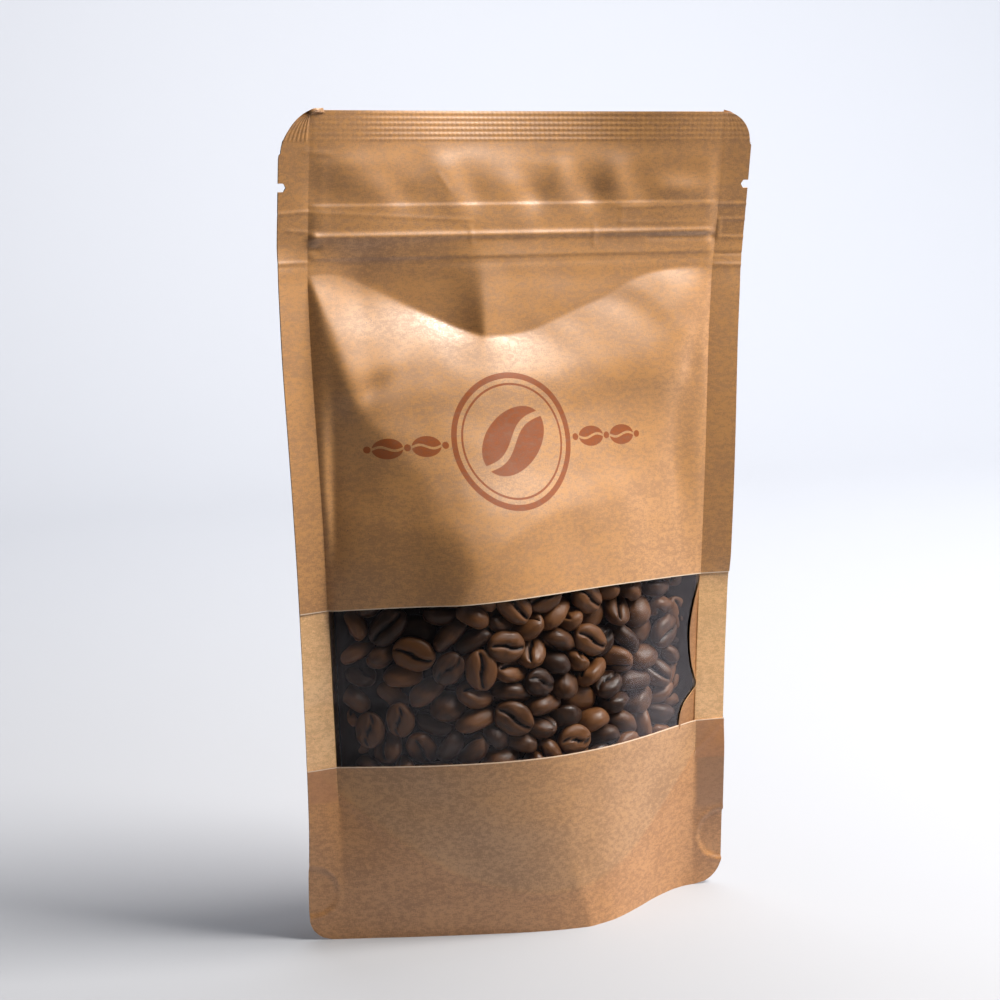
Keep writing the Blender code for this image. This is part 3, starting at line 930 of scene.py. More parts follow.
@dataclass(frozen=True)
class KraftFinish:
    """Brown kraft paper with a satin face."""

    name: str
    dark: Colour = (0.375, 0.168, 0.045)
    light: Colour = (0.555, 0.264, 0.078)
    speck: Colour = (0.13, 0.06, 0.03)
    roughness: float = 0.48
    sheen: float = 1.0
    index: float = 1.62
    contrast: float = 2.6
    trim: tuple[float, float] | None = None
    trim_colour: Colour = (0.74, 0.58, 0.42)
    band: tuple[float, float] | None = None
    band_colour: Colour = (0.38, 0.145, 0.045)
    # painted shade colour for the right seam below the band
    painted_shade_colour: Colour = (0.26, 0.115, 0.040)
    # below the gusset's seal: the doubled paper's own warmer tone with painted shade; above it: painted sheen
    foot_tone_and_shade: Colour = (0.92, 0.85, 0.74)
    painted_sheen_tint: Colour = (0.87, 0.90, 0.99)
    unevenly: float = 0.07
    tooth: float = 0.35
    tooth_depth: float = 0.05 * MM
    arc: bool = False
    stamped: bool = False
    ink: Colour = (0.26, 0.062, 0.010)
    ink_sheen: float = 0.35
    ink_cover: tuple[float, float] = (0.86, 0.97)

    def build(self, fibres: bpy.types.NodeTree, stamp: bpy.types.NodeTree) -> bpy.types.Material:
        """Make the material.

        Args:
            fibres: the paper's pattern group.
            stamp: the printed ornament's group.

        Returns:
            The material.
        """
        material, graph, shader = new_material(self.name)
        graph.wire(shader, Specular_IOR_Level=self.sheen, IOR=self.index)
        place = flat_millimetres(graph)
        pattern = graph.group(fibres, Vector=place, Contrast=self.contrast)
        shade = pattern.outputs["Shade"]
        colour = graph.blend(shade, self.dark, self.light)
        across, up = graph.parts(place)[:2]
        # painted sheen above the gusset's seal; below it the doubled paper's own tone with painted shade
        if self.arc:
            colour = self.tint_foot_and_sheen(graph, across, up, colour)
        if self.band:
            colour = self.darken_band_and_shade(graph, across, up, colour)
        if self.stamped:
            mask = graph.group(stamp, Vector=place).outputs["Mask"]
            worn = graph.product(mask, graph.spread(shade, 0.02, 0.3, *self.ink_cover))
            inked = graph.blend(shade, scaled(self.ink, 0.88), scaled(self.ink, 1.14))
            colour = graph.blend(worn, colour, inked)
            sheen = graph.maths("MULTIPLY_ADD", worn, self.ink_sheen - self.sheen, self.sheen)
            graph.wire(shader, Specular_IOR_Level=sheen)
        colour = graph.blend(pattern.outputs["Specks"], colour, self.speck)
        if self.trim:
            edge = graph.maths("MULTIPLY_ADD", across, -self.trim[1], up)
            away = graph.maths("ABSOLUTE", graph.maths("SUBTRACT", edge, self.trim[0]))
            colour = graph.blend(graph.spread(away, 0.30, 0.16), colour, self.trim_colour)
        rough = graph.spread(shade, 0.0, 1.0, self.roughness + self.unevenly, self.roughness - self.unevenly)
        normal = graph.bumped(pattern.outputs["Height"], self.tooth, self.tooth_depth)
        graph.wire(shader, Base_Color=colour, Roughness=rough, Normal=normal)
        return material

    def tint_foot_and_sheen(self, graph: Graph, across: Socket, up: Socket, colour: Socket) -> Socket:
        """Warm and darken the paper below the gusset's seal, partly the doubled paper's own tone and partly
        painted shade where the sheen falls off, and grey it a little above with painted sheen.
        """
        rise = FORM.gusset_rise * MM / FORM.gusset_half**2
        arc = graph.maths("MULTIPLY_ADD", graph.maths("POWER", across, 2.0), rise, FORM.gusset_low / MM)
        above = graph.maths("SUBTRACT", up, arc)
        warm = graph.blend(1.0, colour, self.foot_tone_and_shade)
        grey = graph.blend(1.0, colour, self.painted_sheen_tint)
        for tint in (warm, grey):
            tint.node.blend_type = "MULTIPLY"
        return graph.blend(graph.spread(above, -0.8, 1.6), warm, grey)

    def darken_band_and_shade(self, graph: Graph, across: Socket, up: Socket, colour: Socket) -> Socket:
        """Darken the stretch of the side seams where the film is sealed in behind the paper, and paint shade
        on the right seam below it.
        """
        (low, high), seam = self.band, FORM.flat_seam / MM
        on_seam = graph.spread(graph.maths("ABSOLUTE", across), seam, seam + 0.6)
        above, beneath = graph.spread(up, low - 0.3, low + 0.3), graph.spread(up, high + 0.4, high - 0.2)
        share = graph.product(graph.product(on_seam, graph.product(above, beneath)), 0.55)
        colour = graph.blend(share, colour, self.band_colour)
        # painted shade: the right seam is darkened below the band
        on_right = graph.spread(across, seam, seam + 1.2)
        below = graph.product(graph.spread(up, 20.0, 23.0), graph.spread(up, low + 0.3, low - 0.3))
        share = graph.product(graph.product(on_right, below), 0.6)
        return graph.blend(share, colour, self.painted_shade_colour)


@dataclass(frozen=True)
class FilmFinish:
    """Clear film that shows what is behind it and mirrors the room."""

    name: str = "clear_film"
    mirror: Colour = (1.0, 0.93, 0.97)
    index: float = 1.5
    gain: float = 0.95
    haze: float = 0.001
    roughness: tuple[float, float] = (0.10, 0.19)

    def build(self) -> bpy.types.Material:
        """Make the material."""
        material, graph, shader = new_material(self.name)
        place = flat_millimetres(graph)
        streaks = graph.weave(place, (0.05, 0.35, 1.0), 20.0, detail=3.0, roughness=0.6)
        fresnel = graph.wire(graph.add("ShaderNodeFresnel"), IOR=self.index)
        film = graph.maths("MULTIPLY_ADD", fresnel.outputs[0], self.gain, self.haze)
        film.node.use_clamp = True
        behind = graph.add("ShaderNodeNewGeometry").outputs["Backfacing"]
        shadow = graph.add("ShaderNodeLightPath").outputs["Is Shadow Ray"]
        shown = graph.maths("SUBTRACT", 1.0, graph.maths("MAXIMUM", behind, shadow))
        colour = graph.blend(streaks, scaled(self.mirror, 0.9), self.mirror)
        rough = graph.spread(streaks, 0.3, 0.7, *self.roughness)
        graph.wire(shader, Base_Color=colour, Metallic=1.0, Roughness=rough, Alpha=graph.product(film, shown))
        return material


@dataclass(frozen=True)
class BeanFinish:
    """Roasted coffee: matt brown skin with a thin oily sheen, and painted shade darkening the split."""

    name: str
    dark: Colour = (0.022, 0.0085, 0.0035)
    light: Colour = (0.120, 0.047, 0.0145)
    split: Colour = (0.006, 0.0025, 0.0015)
    chaff: Colour = (0.20, 0.115, 0.055)
    roughness: float = 0.42
    sheen: float = 0.20
    wrinkling: float = 0.9
    wrinkle_depth: float = 0.16 * MM

    def build(self) -> bpy.types.Material:
        """Make the material."""
        material, graph, shader = new_material(self.name)
        place = graph.add("ShaderNodeTexCoord").outputs["Object"]
        skin = graph.add("ShaderNodeUVMap", uv_map=FLAT_UV).outputs[0]
        tone, groove = (
            graph.add("ShaderNodeAttribute", attribute_name=name).outputs["Fac"] for name in (TONE, GROOVE)
        )
        blotches = graph.noise(place, 420.0, 1.0, 0.5)
        wrinkles = graph.weave(skin, (22.0, 5.0, 1.0))
        mixed = graph.maths("MULTIPLY_ADD", blotches, 0.5, graph.product(tone, 0.75))
        mixed = graph.maths("ADD", mixed, graph.maths("MULTIPLY_ADD", wrinkles, 0.35, -0.3))
        colour = graph.blend(graph.spread(mixed, 0.1, 0.9), self.dark, self.light)
        # painted shade: the split is darkened to near black
        colour = graph.blend(graph.spread(groove, 0.15, 0.7), colour, self.split)
        flakes = graph.spread(graph.noise(place, 900.0, 2.0, 0.6), 0.56, 0.64)
        in_groove = graph.product(graph.spread(groove, 0.75, 0.95), flakes)
        share = graph.product(in_groove, graph.spread(tone, 0.55, 0.75))
        colour = graph.blend(share, colour, self.chaff)
        rough = graph.spread(blotches, 0.3, 0.7, self.roughness - 0.06, self.roughness + 0.12)
        height = graph.maths("ADD", graph.product(wrinkles, 0.7), graph.product(blotches, 0.3))
        normal = graph.bumped(height, self.wrinkling, self.wrinkle_depth)
        graph.wire(shader, Base_Color=colour, Roughness=rough, Specular_IOR_Level=self.sheen, Normal=normal)
        return material


@dataclass(frozen=True)
class SweepFinish:
    """Pale studio paper, with painted shade well in front of the pouch and to its left."""

    name: str = "pale_sweep"
    near: Colour = (0.395, 0.403, 0.425)
    # painted shade colour of the paper well in front of the pouch and to its left
    far: Colour = (0.025, 0.025, 0.027)
    fade_front: tuple[float, float] = (-0.125, -0.30)
    fade_left: tuple[float, float] = (-0.17, -0.34)
    roughness: tuple[float, float] = (0.78, 0.86)

    def build(self) -> bpy.types.Material:
        """Make the material."""
        material, graph, shader = new_material(self.name)
        place = graph.add("ShaderNodeTexCoord").outputs["Object"]
        across, along = graph.parts(place)[:2]
        front, left = graph.spread(along, *self.fade_front), graph.spread(across, *self.fade_left)
        grain = graph.noise(place, 30.0, 3.0, 0.6)
        paper = graph.blend(grain, scaled(self.near, 0.985), self.near)
        # painted shade: the paper fades to near black in front of the pouch and to its left
        colour = graph.blend(graph.maths("MAXIMUM", front, left), paper, self.far)
        graph.wire(shader, Base_Color=colour, Roughness=graph.spread(grain, 0.0, 1.0, *self.roughness))
        return material


@dataclass(frozen=True)
class Zone:
    """How far apart a sheet's rows stand up to a height, both in mm."""

    high: float
    pitch: float


FINE_ZONES = (
    Zone(45, 0.6),
    Zone(88, 0.5),
    Zone(148, 0.95),
    Zone(168, 0.55),
    Zone(186.5, 0.36),
    Zone(200.5, 0.6),
)
BACK_ZONES = (
    Zone(168, 1.2),
    Zone(186.5, 0.5),
    Zone(200.5, 0.9),
)


@dataclass
class PaperSheet:
    """One flat sheet of kraft paper that is cut and formed into its place on the pouch."""

    name: str
    face: Face
    low: float
    high: float
    low_tilt: float = 0.0
    high_tilt: float = 0.0
    zones: tuple[Zone, ...] = FINE_ZONES
    pitch: float = 0.65 * MM
    notched: bool = False
    sharp_from: float = 34 * MM

    def row_heights(self) -> Array:
        """Heights of the sheet's rows, closer together where its relief is fine."""
        rows = [self.low]
        while rows[-1] < self.high:
            zone = next(zone for zone in self.zones if zone.high * MM > rows[-1] + 1e-9)
            rows.append(rows[-1] + zone.pitch * MM)
        heights = np.array(rows)
        return self.low + (heights - self.low) * (self.high - self.low) / (heights[-1] - self.low)

    def build(self, materials: Sequence[bpy.types.Material]) -> bpy.types.Object:
        """Cut, form and thicken the sheet.

        Args:
            materials: of its outer face, its inner face and its cut edge.

        Returns:
            The finished sheet.
        """
        rows = self.row_heights()
        sheet = Bench.grid(self.name, round(FORM.flat_width / self.pitch), len(rows) - 1)
        points = Bench.points(sheet)
        index = np.rint((points[:, 1] + 0.5) * (len(rows) - 1)).astype(int)
        share = (rows[index] - self.low) / (self.high - self.low)
        u = self.seam_columns(points[:, 0] * FORM.flat_width)
        low, high = self.low + self.low_tilt * u, self.high + self.high_tilt * u
        Bench.move_points(sheet, np.stack([u, low + (high - low) * share, np.zeros(len(u))], axis=1))
        if self.notched:
            for side in (-1.0, 1.0):
                self.cut_notch(sheet, side)
        flat = Bench.points(sheet)
        write_flat_uv(sheet, flat[:, 0], flat[:, 1])
        Bench.move_points(sheet, FORM.place(self.face, flat[:, 0], flat[:, 1]))
        self.mark_seams(sheet, flat[:, 0], flat[:, 1])
        if self.face is Face.BACK:
            flip_faces(sheet)
        Bench.thicken(sheet, FORM.paper, materials)
        Bench.smooth(sheet, 55.0)
        return sheet

    def seam_columns(self, u: Array) -> Array:
        """Shift the grid's columns so that one of them runs along each seam's inner edge."""
        half, seam = FORM.flat_width / 2, FORM.flat_seam
        columns = round(FORM.flat_width / self.pitch)
        nearest = half - round(FORM.seam / FORM.flat_width * columns) * FORM.flat_width / columns
        return np.interp(u, (-half, -nearest, nearest, half), (-half, -seam, seam, half))

    def mark_seams(self, sheet: bpy.types.Object, u: Array, v: Array) -> None:
        """Mark the seams' inner edges sharp, above the foot where the panels run on smoothly."""
        edges = np.empty(2 * len(sheet.data.edges), dtype=np.int32)
        sheet.data.edges.foreach_get("vertices", edges)
        first, second = edges.reshape(-1, 2).T
        on_seam = np.abs(np.abs(u) - FORM.flat_seam) < 1e-5
        marked = on_seam[first] & on_seam[second] & (v[first] > self.sharp_from)
        sheet.data.attributes.new("sharp_edge", "BOOLEAN", "EDGE").data.foreach_set("value", marked)

    def cut_notch(self, sheet: bpy.types.Object, side: float) -> None:
        """Cut the pointed tear notch out of one side edge of the flat sheet."""
        edge, height = side * FORM.flat_width / 2, FORM.notch_height
        tip = edge - side * FORM.notch_depth
        slot = edge - side * FORM.notch_slot
        reach = 1.6 * FORM.notch_depth
        cuts = [((edge, height + half, 0.0), (0.0, 1.0, 0.0)) for half in (-FORM.notch_half, FORM.notch_half)]
        for half in (-FORM.notch_half, FORM.notch_half):
            along = Vector((slot - tip, half, 0.0))
            cuts.append(((tip, height, 0.0), (-along.y, along.x, 0.0)))
        Bench.take(sheet)
        bpy.ops.object.mode_set(mode="EDIT")
        bpy.ops.mesh.select_mode(type="FACE")
        for place, way in cuts:
            self.select_near(sheet, (edge, height), reach)
            bpy.ops.mesh.bisect(plane_co=place, plane_no=way, threshold=1e-7)
        mesh = bmesh.from_edit_mesh(sheet.data)
        for face in mesh.faces:
            middle = face.calc_center_median()
            inward, off = abs(middle.x - edge), abs(middle.y - height)
            taper = (FORM.notch_depth - inward) / (FORM.notch_depth - FORM.notch_slot)
            face.select_set(off < FORM.notch_half * min(1.0, taper) and inward < FORM.notch_depth)
        bmesh.update_edit_mesh(sheet.data)
        bpy.ops.mesh.delete(type="FACE")
        bpy.ops.object.mode_set(mode="OBJECT")

    def select_near(self, sheet: bpy.types.Object, place: tuple[float, float], reach: float) -> None:
        """Select the faces around a place of the flat sheet."""
        mesh = bmesh.from_edit_mesh(sheet.data)
        for face in mesh.faces:
            middle = face.calc_center_median()
            face.select_set(abs(middle.x - place[0]) < reach and abs(middle.y - place[1]) < reach)
        bmesh.update_edit_mesh(sheet.data)


def flip_faces(sheet: bpy.types.Object) -> None:
    """Turn a sheet's faces to its other side."""
    Bench.take(sheet)
    bpy.ops.object.mode_set(mode="EDIT")
    bpy.ops.mesh.select_all(action="SELECT")
    bpy.ops.mesh.flip_normals()
    bpy.ops.object.mode_set(mode="OBJECT")


def write_flat_uv(sheet: bpy.types.Object, u: Array, v: Array) -> None:
    """Keep the flat sheet's own coordinates as its UV map."""
    layer = sheet.data.uv_layers[0]
    layer.name = FLAT_UV
    corner = np.empty(len(sheet.data.loops), dtype=np.int32)
    sheet.data.loops.foreach_get("vertex_index", corner)
    uv = np.stack([u[corner] / FORM.height + 0.5, v[corner] / FORM.height], axis=1)
    layer.data.foreach_set("uv", uv.ravel())


TILT = FORM.window_tilt
SHEETS = (
    PaperSheet("front_upper", Face.FRONT, FORM.window_high, 200 * MM, low_tilt=TILT, notched=True),
    PaperSheet("front_lower", Face.FRONT, 0.0, FORM.window_low, high_tilt=TILT),
    PaperSheet("back", Face.BACK, 0.0, 200 * MM, zones=BACK_ZONES, pitch=0.8 * MM, notched=True),
)
KRAFT_FINISHES = (
    KraftFinish("kraft_upper", trim=(FORM.window_high / MM, TILT), stamped=True),
    KraftFinish("kraft_lower", trim=(FORM.window_low / MM, TILT), band=(35.5, 46.0), arc=True),
    KraftFinish("kraft_back"),
    KraftFinish("kraft_inside", (0.68, 0.38, 0.15), (0.90, 0.54, 0.24), roughness=0.45),
    KraftFinish("kraft_edge", (0.50, 0.26, 0.12), (0.66, 0.40, 0.22), roughness=0.8),
    # painted shade: a darker copy of the kraft for the strip by the right seam
    KraftFinish("kraft_lip_painted_shade", (0.24, 0.098, 0.026), (0.34, 0.150, 0.042), sheen=0.5),
)


@dataclass
class SealBand:
    """The heat-sealed top: both panels as one, embossed with a small grid."""

    low: float = 200 * MM
    spacing: float = 0.27 * MM
    pitch: float = 1.28 * MM
    rib: float = 0.10 * MM
    knob: float = 0.07 * MM
    first_row: float = 200.3 * MM
    faint: float = 0.25
    faint_span: tuple[float, float] = (-47 * MM, -36 * MM)
    worn: float = 0.45
    worn_span: tuple[float, float] = (18 * MM, 40 * MM)

    def emboss(self, u: Array, v: Array) -> Array:
        """Height of the embossed grid: rows of small knobs, faint at the left, ribs at the corner."""
        rows = np.sin(math.pi * (v - self.first_row) / self.pitch) ** 2
        knobs = np.sin(math.pi * u / self.pitch) ** 2
        strength = self.faint + (1.0 - self.faint) * ease(u, *self.faint_span)
        strength = strength * (1.0 - self.worn * ease(u, *self.worn_span))
        start = ease(v, self.first_row, self.first_row + 0.5 * self.pitch)
        corner = ease(-u, FORM.flat_seam, FORM.flat_seam + 0.6 * MM)
        grid = strength * rows * (self.rib + self.knob * (knobs - 0.5)) * (1.0 - corner)
        return start * (grid + corner * 1.5 * self.knob * knobs)

    def build(self, materials: Sequence[bpy.types.Material]) -> bpy.types.Object:
        """Press and form the band.

        Args:
            materials: of its faces, its faces and its cut edge.

        Returns:
            The finished band.
        """
        span = FORM.height - self.low
        band = Bench.grid("seal_band", round(FORM.flat_width / self.spacing), round(span / self.spacing))
        points = Bench.points(band)
        u, v = points[:, 0] * FORM.flat_width, self.low + span * (points[:, 1] + 0.5)
        write_flat_uv(band, u, v)
        formed = FORM.place(Face.FRONT, u, v)
        formed[:, 1] -= self.emboss(u, v)
        return Bench.form(band, formed, 2 * FORM.paper, materials, 60.0)


@dataclass
class WindowFilm:
    """The clear film behind the window, which runs right across the front panel."""

    low: float = 41 * MM
    high: float = 89 * MM
    spacing: float = 0.8 * MM
    inward: float = 0.30 * MM
    on_seam: float = 0.20 * MM
    thickness: float = 0.06 * MM
    buckle: float = 0.9 * MM
    slack: float = 0.10 * MM
    loose_low: tuple[float, float] = (45 * MM, 48 * MM)
    loose_high: tuple[float, float] = (-85 * MM, -82 * MM)
    loose_side: float = 4 * MM
    buckle_line: Curve = Curve(
        (44, 48, 51.3, 53.5, 55.8, 58, 62, 67, 72, 78.5, 86),
        (49.0, 49.4, 51.3, 54.2, 57.0, 56.0, 54.4, 53.5, 53.4, 54.8, 57.4),
    )
    lip_low: float = 44.6 * MM
    lip_high: float = 86.4 * MM
    lip_outer: float = 57.2 * MM
    lip_least: float = 0.5 * MM
    lip_front: float = 0.03 * MM
    lip_back: float = 0.75 * MM
    lip_thickness: float = 0.15 * MM

    def build(self, material: bpy.types.Material) -> bpy.types.Object:
        """Form the film.

        Args:
            material: of the film.

        Returns:
            The finished film.
        """
        rows = round((self.high - self.low) / self.spacing)
        film = Bench.grid("window_film", round(FORM.flat_width / self.spacing), rows)
        points = Bench.points(film)
        u, v = points[:, 0] * FORM.flat_width, self.low + (self.high - self.low) * (points[:, 1] + 0.5)
        write_flat_uv(film, u, v)
        free = ease(FORM.flat_seam - np.abs(u), 0.0, 1.0 * MM)
        inward = self.on_seam + (self.inward - self.on_seam) * free
        formed = FORM.place(Face.FRONT, u, v, inward, fine=False)
        formed[:, 1] += self.drape(u, v)
        return Bench.form(film, formed, self.thickness, (material,), 60.0)

    def drape(self, u: Array, v: Array) -> Array:
        """How far the loose film hangs behind its even shape."""
        in_window = ease(v, *self.loose_low) * ease(-v, *self.loose_high)
        loose = in_window * ease(FORM.flat_seam - np.abs(u), 0.0, self.loose_side)
        slack = loose * self.slack * (0.6 + unevenness(u * 0.6, v, 13 * MM, 2.0))
        past = ease(u - MM * self.buckle_line.at(v), -0.6 * MM, 1.0 * MM)
        return slack + in_window * self.buckle * past * ease(FORM.flat_seam + 0.5 * MM - u, 0.0, 1.5 * MM)

    def build_lip(self, materials: Sequence[bpy.types.Material]) -> bpy.types.Object:
        """Form the scalloped strip of paper that stays stuck behind the film by the right seam.

        Args:
            materials: of its outer face, its inner face and its cut edge.

        Returns:
            The finished strip.
        """
        lip = Bench.grid("seam_lip", 12, 64)
        points = Bench.points(lip)
        v = self.lip_low + (self.lip_high - self.lip_low) * (points[:, 1] + 0.5)
        inner = np.minimum(MM * self.buckle_line.at(v), self.lip_outer - self.lip_least)
        share = points[:, 0] + 0.5
        u = inner + (self.lip_outer - inner) * share
        write_flat_uv(lip, u, v)
        formed = FORM.place(Face.FRONT, u, v, self.lip_front + self.lip_back * share**1.5, fine=False)
        return Bench.form(lip, formed, self.lip_thickness, materials, 50.0)


@dataclass
class Gusset:
    """The folded sheet that opens out under the pouch, sealed to both panels along an arc."""

    columns: int = 96
    rows: int = 40
    fold: float = 1.6 * MM
    clearance: float = 0.6 * MM
    tuck: float = 8 * MM
    waves: float = 0.8 * MM
    floor: float = 0.5 * MM
    flat_depth: float = 42 * MM

    def build(self, materials: Sequence[bpy.types.Material]) -> bpy.types.Object:
        """Form the sheet between the panels.

        Args:
            materials: of its lower face, its upper face and its edge.

        Returns:
            The finished sheet.
        """
        sheet = Bench.grid("gusset", self.columns, self.rows)
        points = Bench.points(sheet)
        u = points[:, 0] * 2 * FORM.flat_seam
        share = points[:, 1] + 0.5
        v = FORM.gusset_arc(u) - self.tuck * (1.0 - (np.abs(u) / FORM.gusset_half) ** 2)
        front, back = (FORM.place(face, u, v, FORM.paper + self.clearance, fine=False) for face in Face)
        formed = front + (back - front) * share[:, None]
        formed[:, 2] += self.fold * (hump(share, 0.5, 0.12) - 1.2 * np.sin(math.pi * share) ** 2)
        formed[:, 2] += self.waves * unevenness(u, share * 40 * MM, 11 * MM, 6.0)
        formed[:, 2] = np.maximum(formed[:, 2], self.floor)
        write_flat_uv(sheet, u, share * self.flat_depth)
        flip_faces(sheet)
        return Bench.form(sheet, formed, FORM.paper, materials, 50.0)


@dataclass(frozen=True)
class BeanShape:
    """One roasted bean lying on its flat side: long along X, its dome up."""

    name: str
    long: float = 10.4 * MM
    wide: float = 7.9 * MM
    dome: float = 3.3 * MM
    belly: float = 1.7 * MM
    split_depth: float = 1.1 * MM
    split_half: float = 0.42 * MM
    curl: float = 0.5 * MM
    blunt: float = 2.4
    seed: float = 0.0
    split_lip: float = 0.22 * MM
    unevenly: float = 0.07

    def form(self, ball: Array) -> tuple[Array, Array]:
        """Shape a ball of radius one, with its poles on X, into the bean.

        Args:
            ball: the ball's points.

        Returns:
            The bean's points, and how deep in the split each one is, 0 to 1.
        """
        along = ball[:, 0]
        full = np.clip(1.0 - np.abs(along) ** self.blunt, 0.0, 1.0) ** 0.5
        turn = np.arctan2(ball[:, 2], ball[:, 1])
        across, up = np.cos(turn), np.sin(turn)
        under = up < 0
        across = np.where(under, np.sign(across) * np.abs(across) ** 1.8, across)
        flat = np.sqrt(np.clip(1.0 - np.abs(across) ** 4.0, 0.0, 1.0))
        x = 0.5 * self.long * along
        y = 0.5 * self.wide * full * across
        z = np.where(under, -self.belly * flat * full**0.8, self.dome * full**0.9 * up)
        centre = self.curl * np.sin(math.pi * along)
        groove = hump(y, centre, self.split_half) * ease(0.97 - np.abs(along), 0.0, 0.2) * under
        lips = hump(np.abs(y - centre), 2.4 * self.split_half, 1.6 * self.split_half) * under
        z = z + self.split_depth * groove * full - self.split_lip * lips * full
        rough = np.array([noise.noise(Vector((a, b, c + self.seed)) * 1.7) for a, b, c in ball.tolist()])
        swell = 1.0 + self.unevenly * rough
        return np.stack([x * swell, y * swell, z * swell], axis=1), groove


BEAN_SHAPES = (
    BeanShape("bean_plain"),
    BeanShape("bean_round", 9.6 * MM, 8.2 * MM, 3.6 * MM, 1.8 * MM, 1.0 * MM, 0.38 * MM, -0.6 * MM, 2.2, 3.0),
    BeanShape("bean_long", 11.4 * MM, 7.6 * MM, 3.2 * MM, 1.6 * MM, 1.2 * MM, 0.45 * MM, 0.35 * MM, 2.6, 7.0),
    BeanShape("bean_small", 8.9 * MM, 7.1 * MM, 3.1 * MM, 1.6 * MM, 1.0 * MM, 0.36 * MM, 0.7 * MM, 2.3, 11.0),
)


@dataclass
class BeanHeap:
    """Roasted beans at true size, dropped between the panels and pressed against the film."""

    count: int = 140
    half_wide: float = 54.0 * MM
    deep: float = 8.8 * MM
    layer_step: float = 8.0 * MM
    layer_lift: float = 4.0 * MM
    floor: float = 34 * MM
    spacing: float = 11.5 * MM
    jitter: float = 1.2 * MM
    shares: tuple[float, ...] = (0.4, 0.2, 0.2, 0.2)
    pull: tuple[float, float, float] = (0.0, -5.5, -8.4)
    friction: float = 0.35
    wall_height: float = 0.7
    wall_thickness: float = 0.05
    enlarge: float = 20.0
    frames: int = 110
    seed: int = 12
    kept: tuple[float, float] = (39 * MM, 94 * MM)
    most_aside: float = 5.0 * MM
    inward_tries: tuple[float, ...] = (0.0, 1.0 * MM, 2.0 * MM, 3.0 * MM)
    film_gap: float = 0.55 * MM
    back_gap: float = 0.6 * MM
    seam_gap: float = 0.2 * MM
    smaller: float = 0.85

    def ball(self, name: str, segments: int, rings: int) -> bpy.types.Object:
        """Add a ball of radius one with its poles on X."""
        Bench.clear_selection()
        bpy.ops.mesh.primitive_uv_sphere_add(segments=segments, ring_count=rings, radius=1.0,
                                             rotation=(0.0, math.pi / 2, 0.0))
        ball = Bench.named(name)
        Bench.settle(ball)
        return ball

    def model(self, shape: BeanShape, material: bpy.types.Material) -> bpy.types.Object:
        """Model one bean, with its split marked in an attribute."""
        bean = self.ball(shape.name, 24, 17)
        points, groove = shape.form(Bench.points(bean))
        Bench.move_points(bean, points)
        bean.data.uv_layers[0].name = FLAT_UV
        bean.data.materials.append(material)
        Bench.mark_points(bean, GROOVE, groove)
        Bench.mark_points(bean, TONE, np.zeros(len(points)))
        Bench.smooth(bean, 80.0)
        return bean

    def add_walls(self) -> list[bpy.types.Object]:
        """Add the box that the beans fall into, enlarged."""
        sizes = (self.half_wide, self.deep, self.wall_height, self.wall_thickness)
        wide, deep, tall, thick = (self.enlarge * size for size in sizes)
        floor = self.enlarge * self.floor
        middle, span = floor + tall / 2, 2 * wide + 2 * thick
        spots = (
            ((0.0, deep / 2, floor - thick / 2), (span, deep + 2 * thick, thick)),
            ((0.0, -thick / 2, middle), (span, thick, tall)),
            ((0.0, deep + thick / 2, middle), (span, thick, tall)),
            ((-wide - thick / 2, deep / 2, middle), (thick, deep, tall)),
            ((wide + thick / 2, deep / 2, middle), (thick, deep, tall)),
        )
        walls = []
        for place, size in spots:
            Bench.clear_selection()
            bpy.ops.mesh.primitive_cube_add(size=1.0, location=place, scale=size)
            wall = Bench.named("packing_wall")
            bpy.ops.rigidbody.object_add(type="PASSIVE")
            tune(wall.rigid_body, collision_shape="BOX", friction=self.friction)
            walls.append(wall)
        return walls

    def hull(self, shape: BeanShape) -> bpy.types.Object:
        """Add the plain, enlarged body with which one kind of bean falls."""
        hull = self.ball("hull_" + shape.name, 12, 8)
        Bench.move_points(hull, shape.form(Bench.points(hull))[0] * self.enlarge)
        return hull

    def scatter(self, hulls: Sequence[bpy.types.Object]) -> tuple[list[int], list[bpy.types.Object]]:
        """Hang the beans in rows over the floor, turned at random.

        Args:
            hulls: the body of each kind of bean.

        Returns:
            The kind of each bean, and its body.
        """
        chance = np.random.default_rng(self.seed)
        step = self.spacing
        per_row = int(2 * self.half_wide / step)
        kinds, copies = [], []
        for index in range(self.count):
            kind = int(chance.choice(len(BEAN_SHAPES), p=self.shares))
            copy = hulls[kind].copy()
            bpy.context.scene.collection.objects.link(copy)
            column, row = index % per_row, index // per_row
            across, up = (column + 0.5) * step - per_row * step / 2, self.floor + (row + 0.7) * step
            jitter = Vector(chance.uniform(-self.jitter, self.jitter, 3).tolist())
            copy.location = self.enlarge * (Vector((across, self.deep / 2, up)) + jitter)
            copy.rotation_euler = chance.uniform(-math.pi, math.pi, 3).tolist()
            kinds.append(kind)
            copies.append(copy)
        return kinds, copies

    def settle(self, copies: Sequence[bpy.types.Object]) -> list[Matrix]:
        """Let the beans fall, and return where each one comes to rest."""
        scene = bpy.context.scene
        Bench.take(*copies)
        bpy.ops.rigidbody.objects_add(type="ACTIVE")
        for copy in copies:
            tune(copy.rigid_body, friction=self.friction, restitution=0.0, linear_damping=0.15,
                 angular_damping=0.3, use_margin=True, collision_margin=0.002)
        for number in range(1, self.frames + 1):
            scene.frame_set(number)
        layer = bpy.context.evaluated_depsgraph_get()
        return [copy.evaluated_get(layer).matrix_world.copy() for copy in copies]

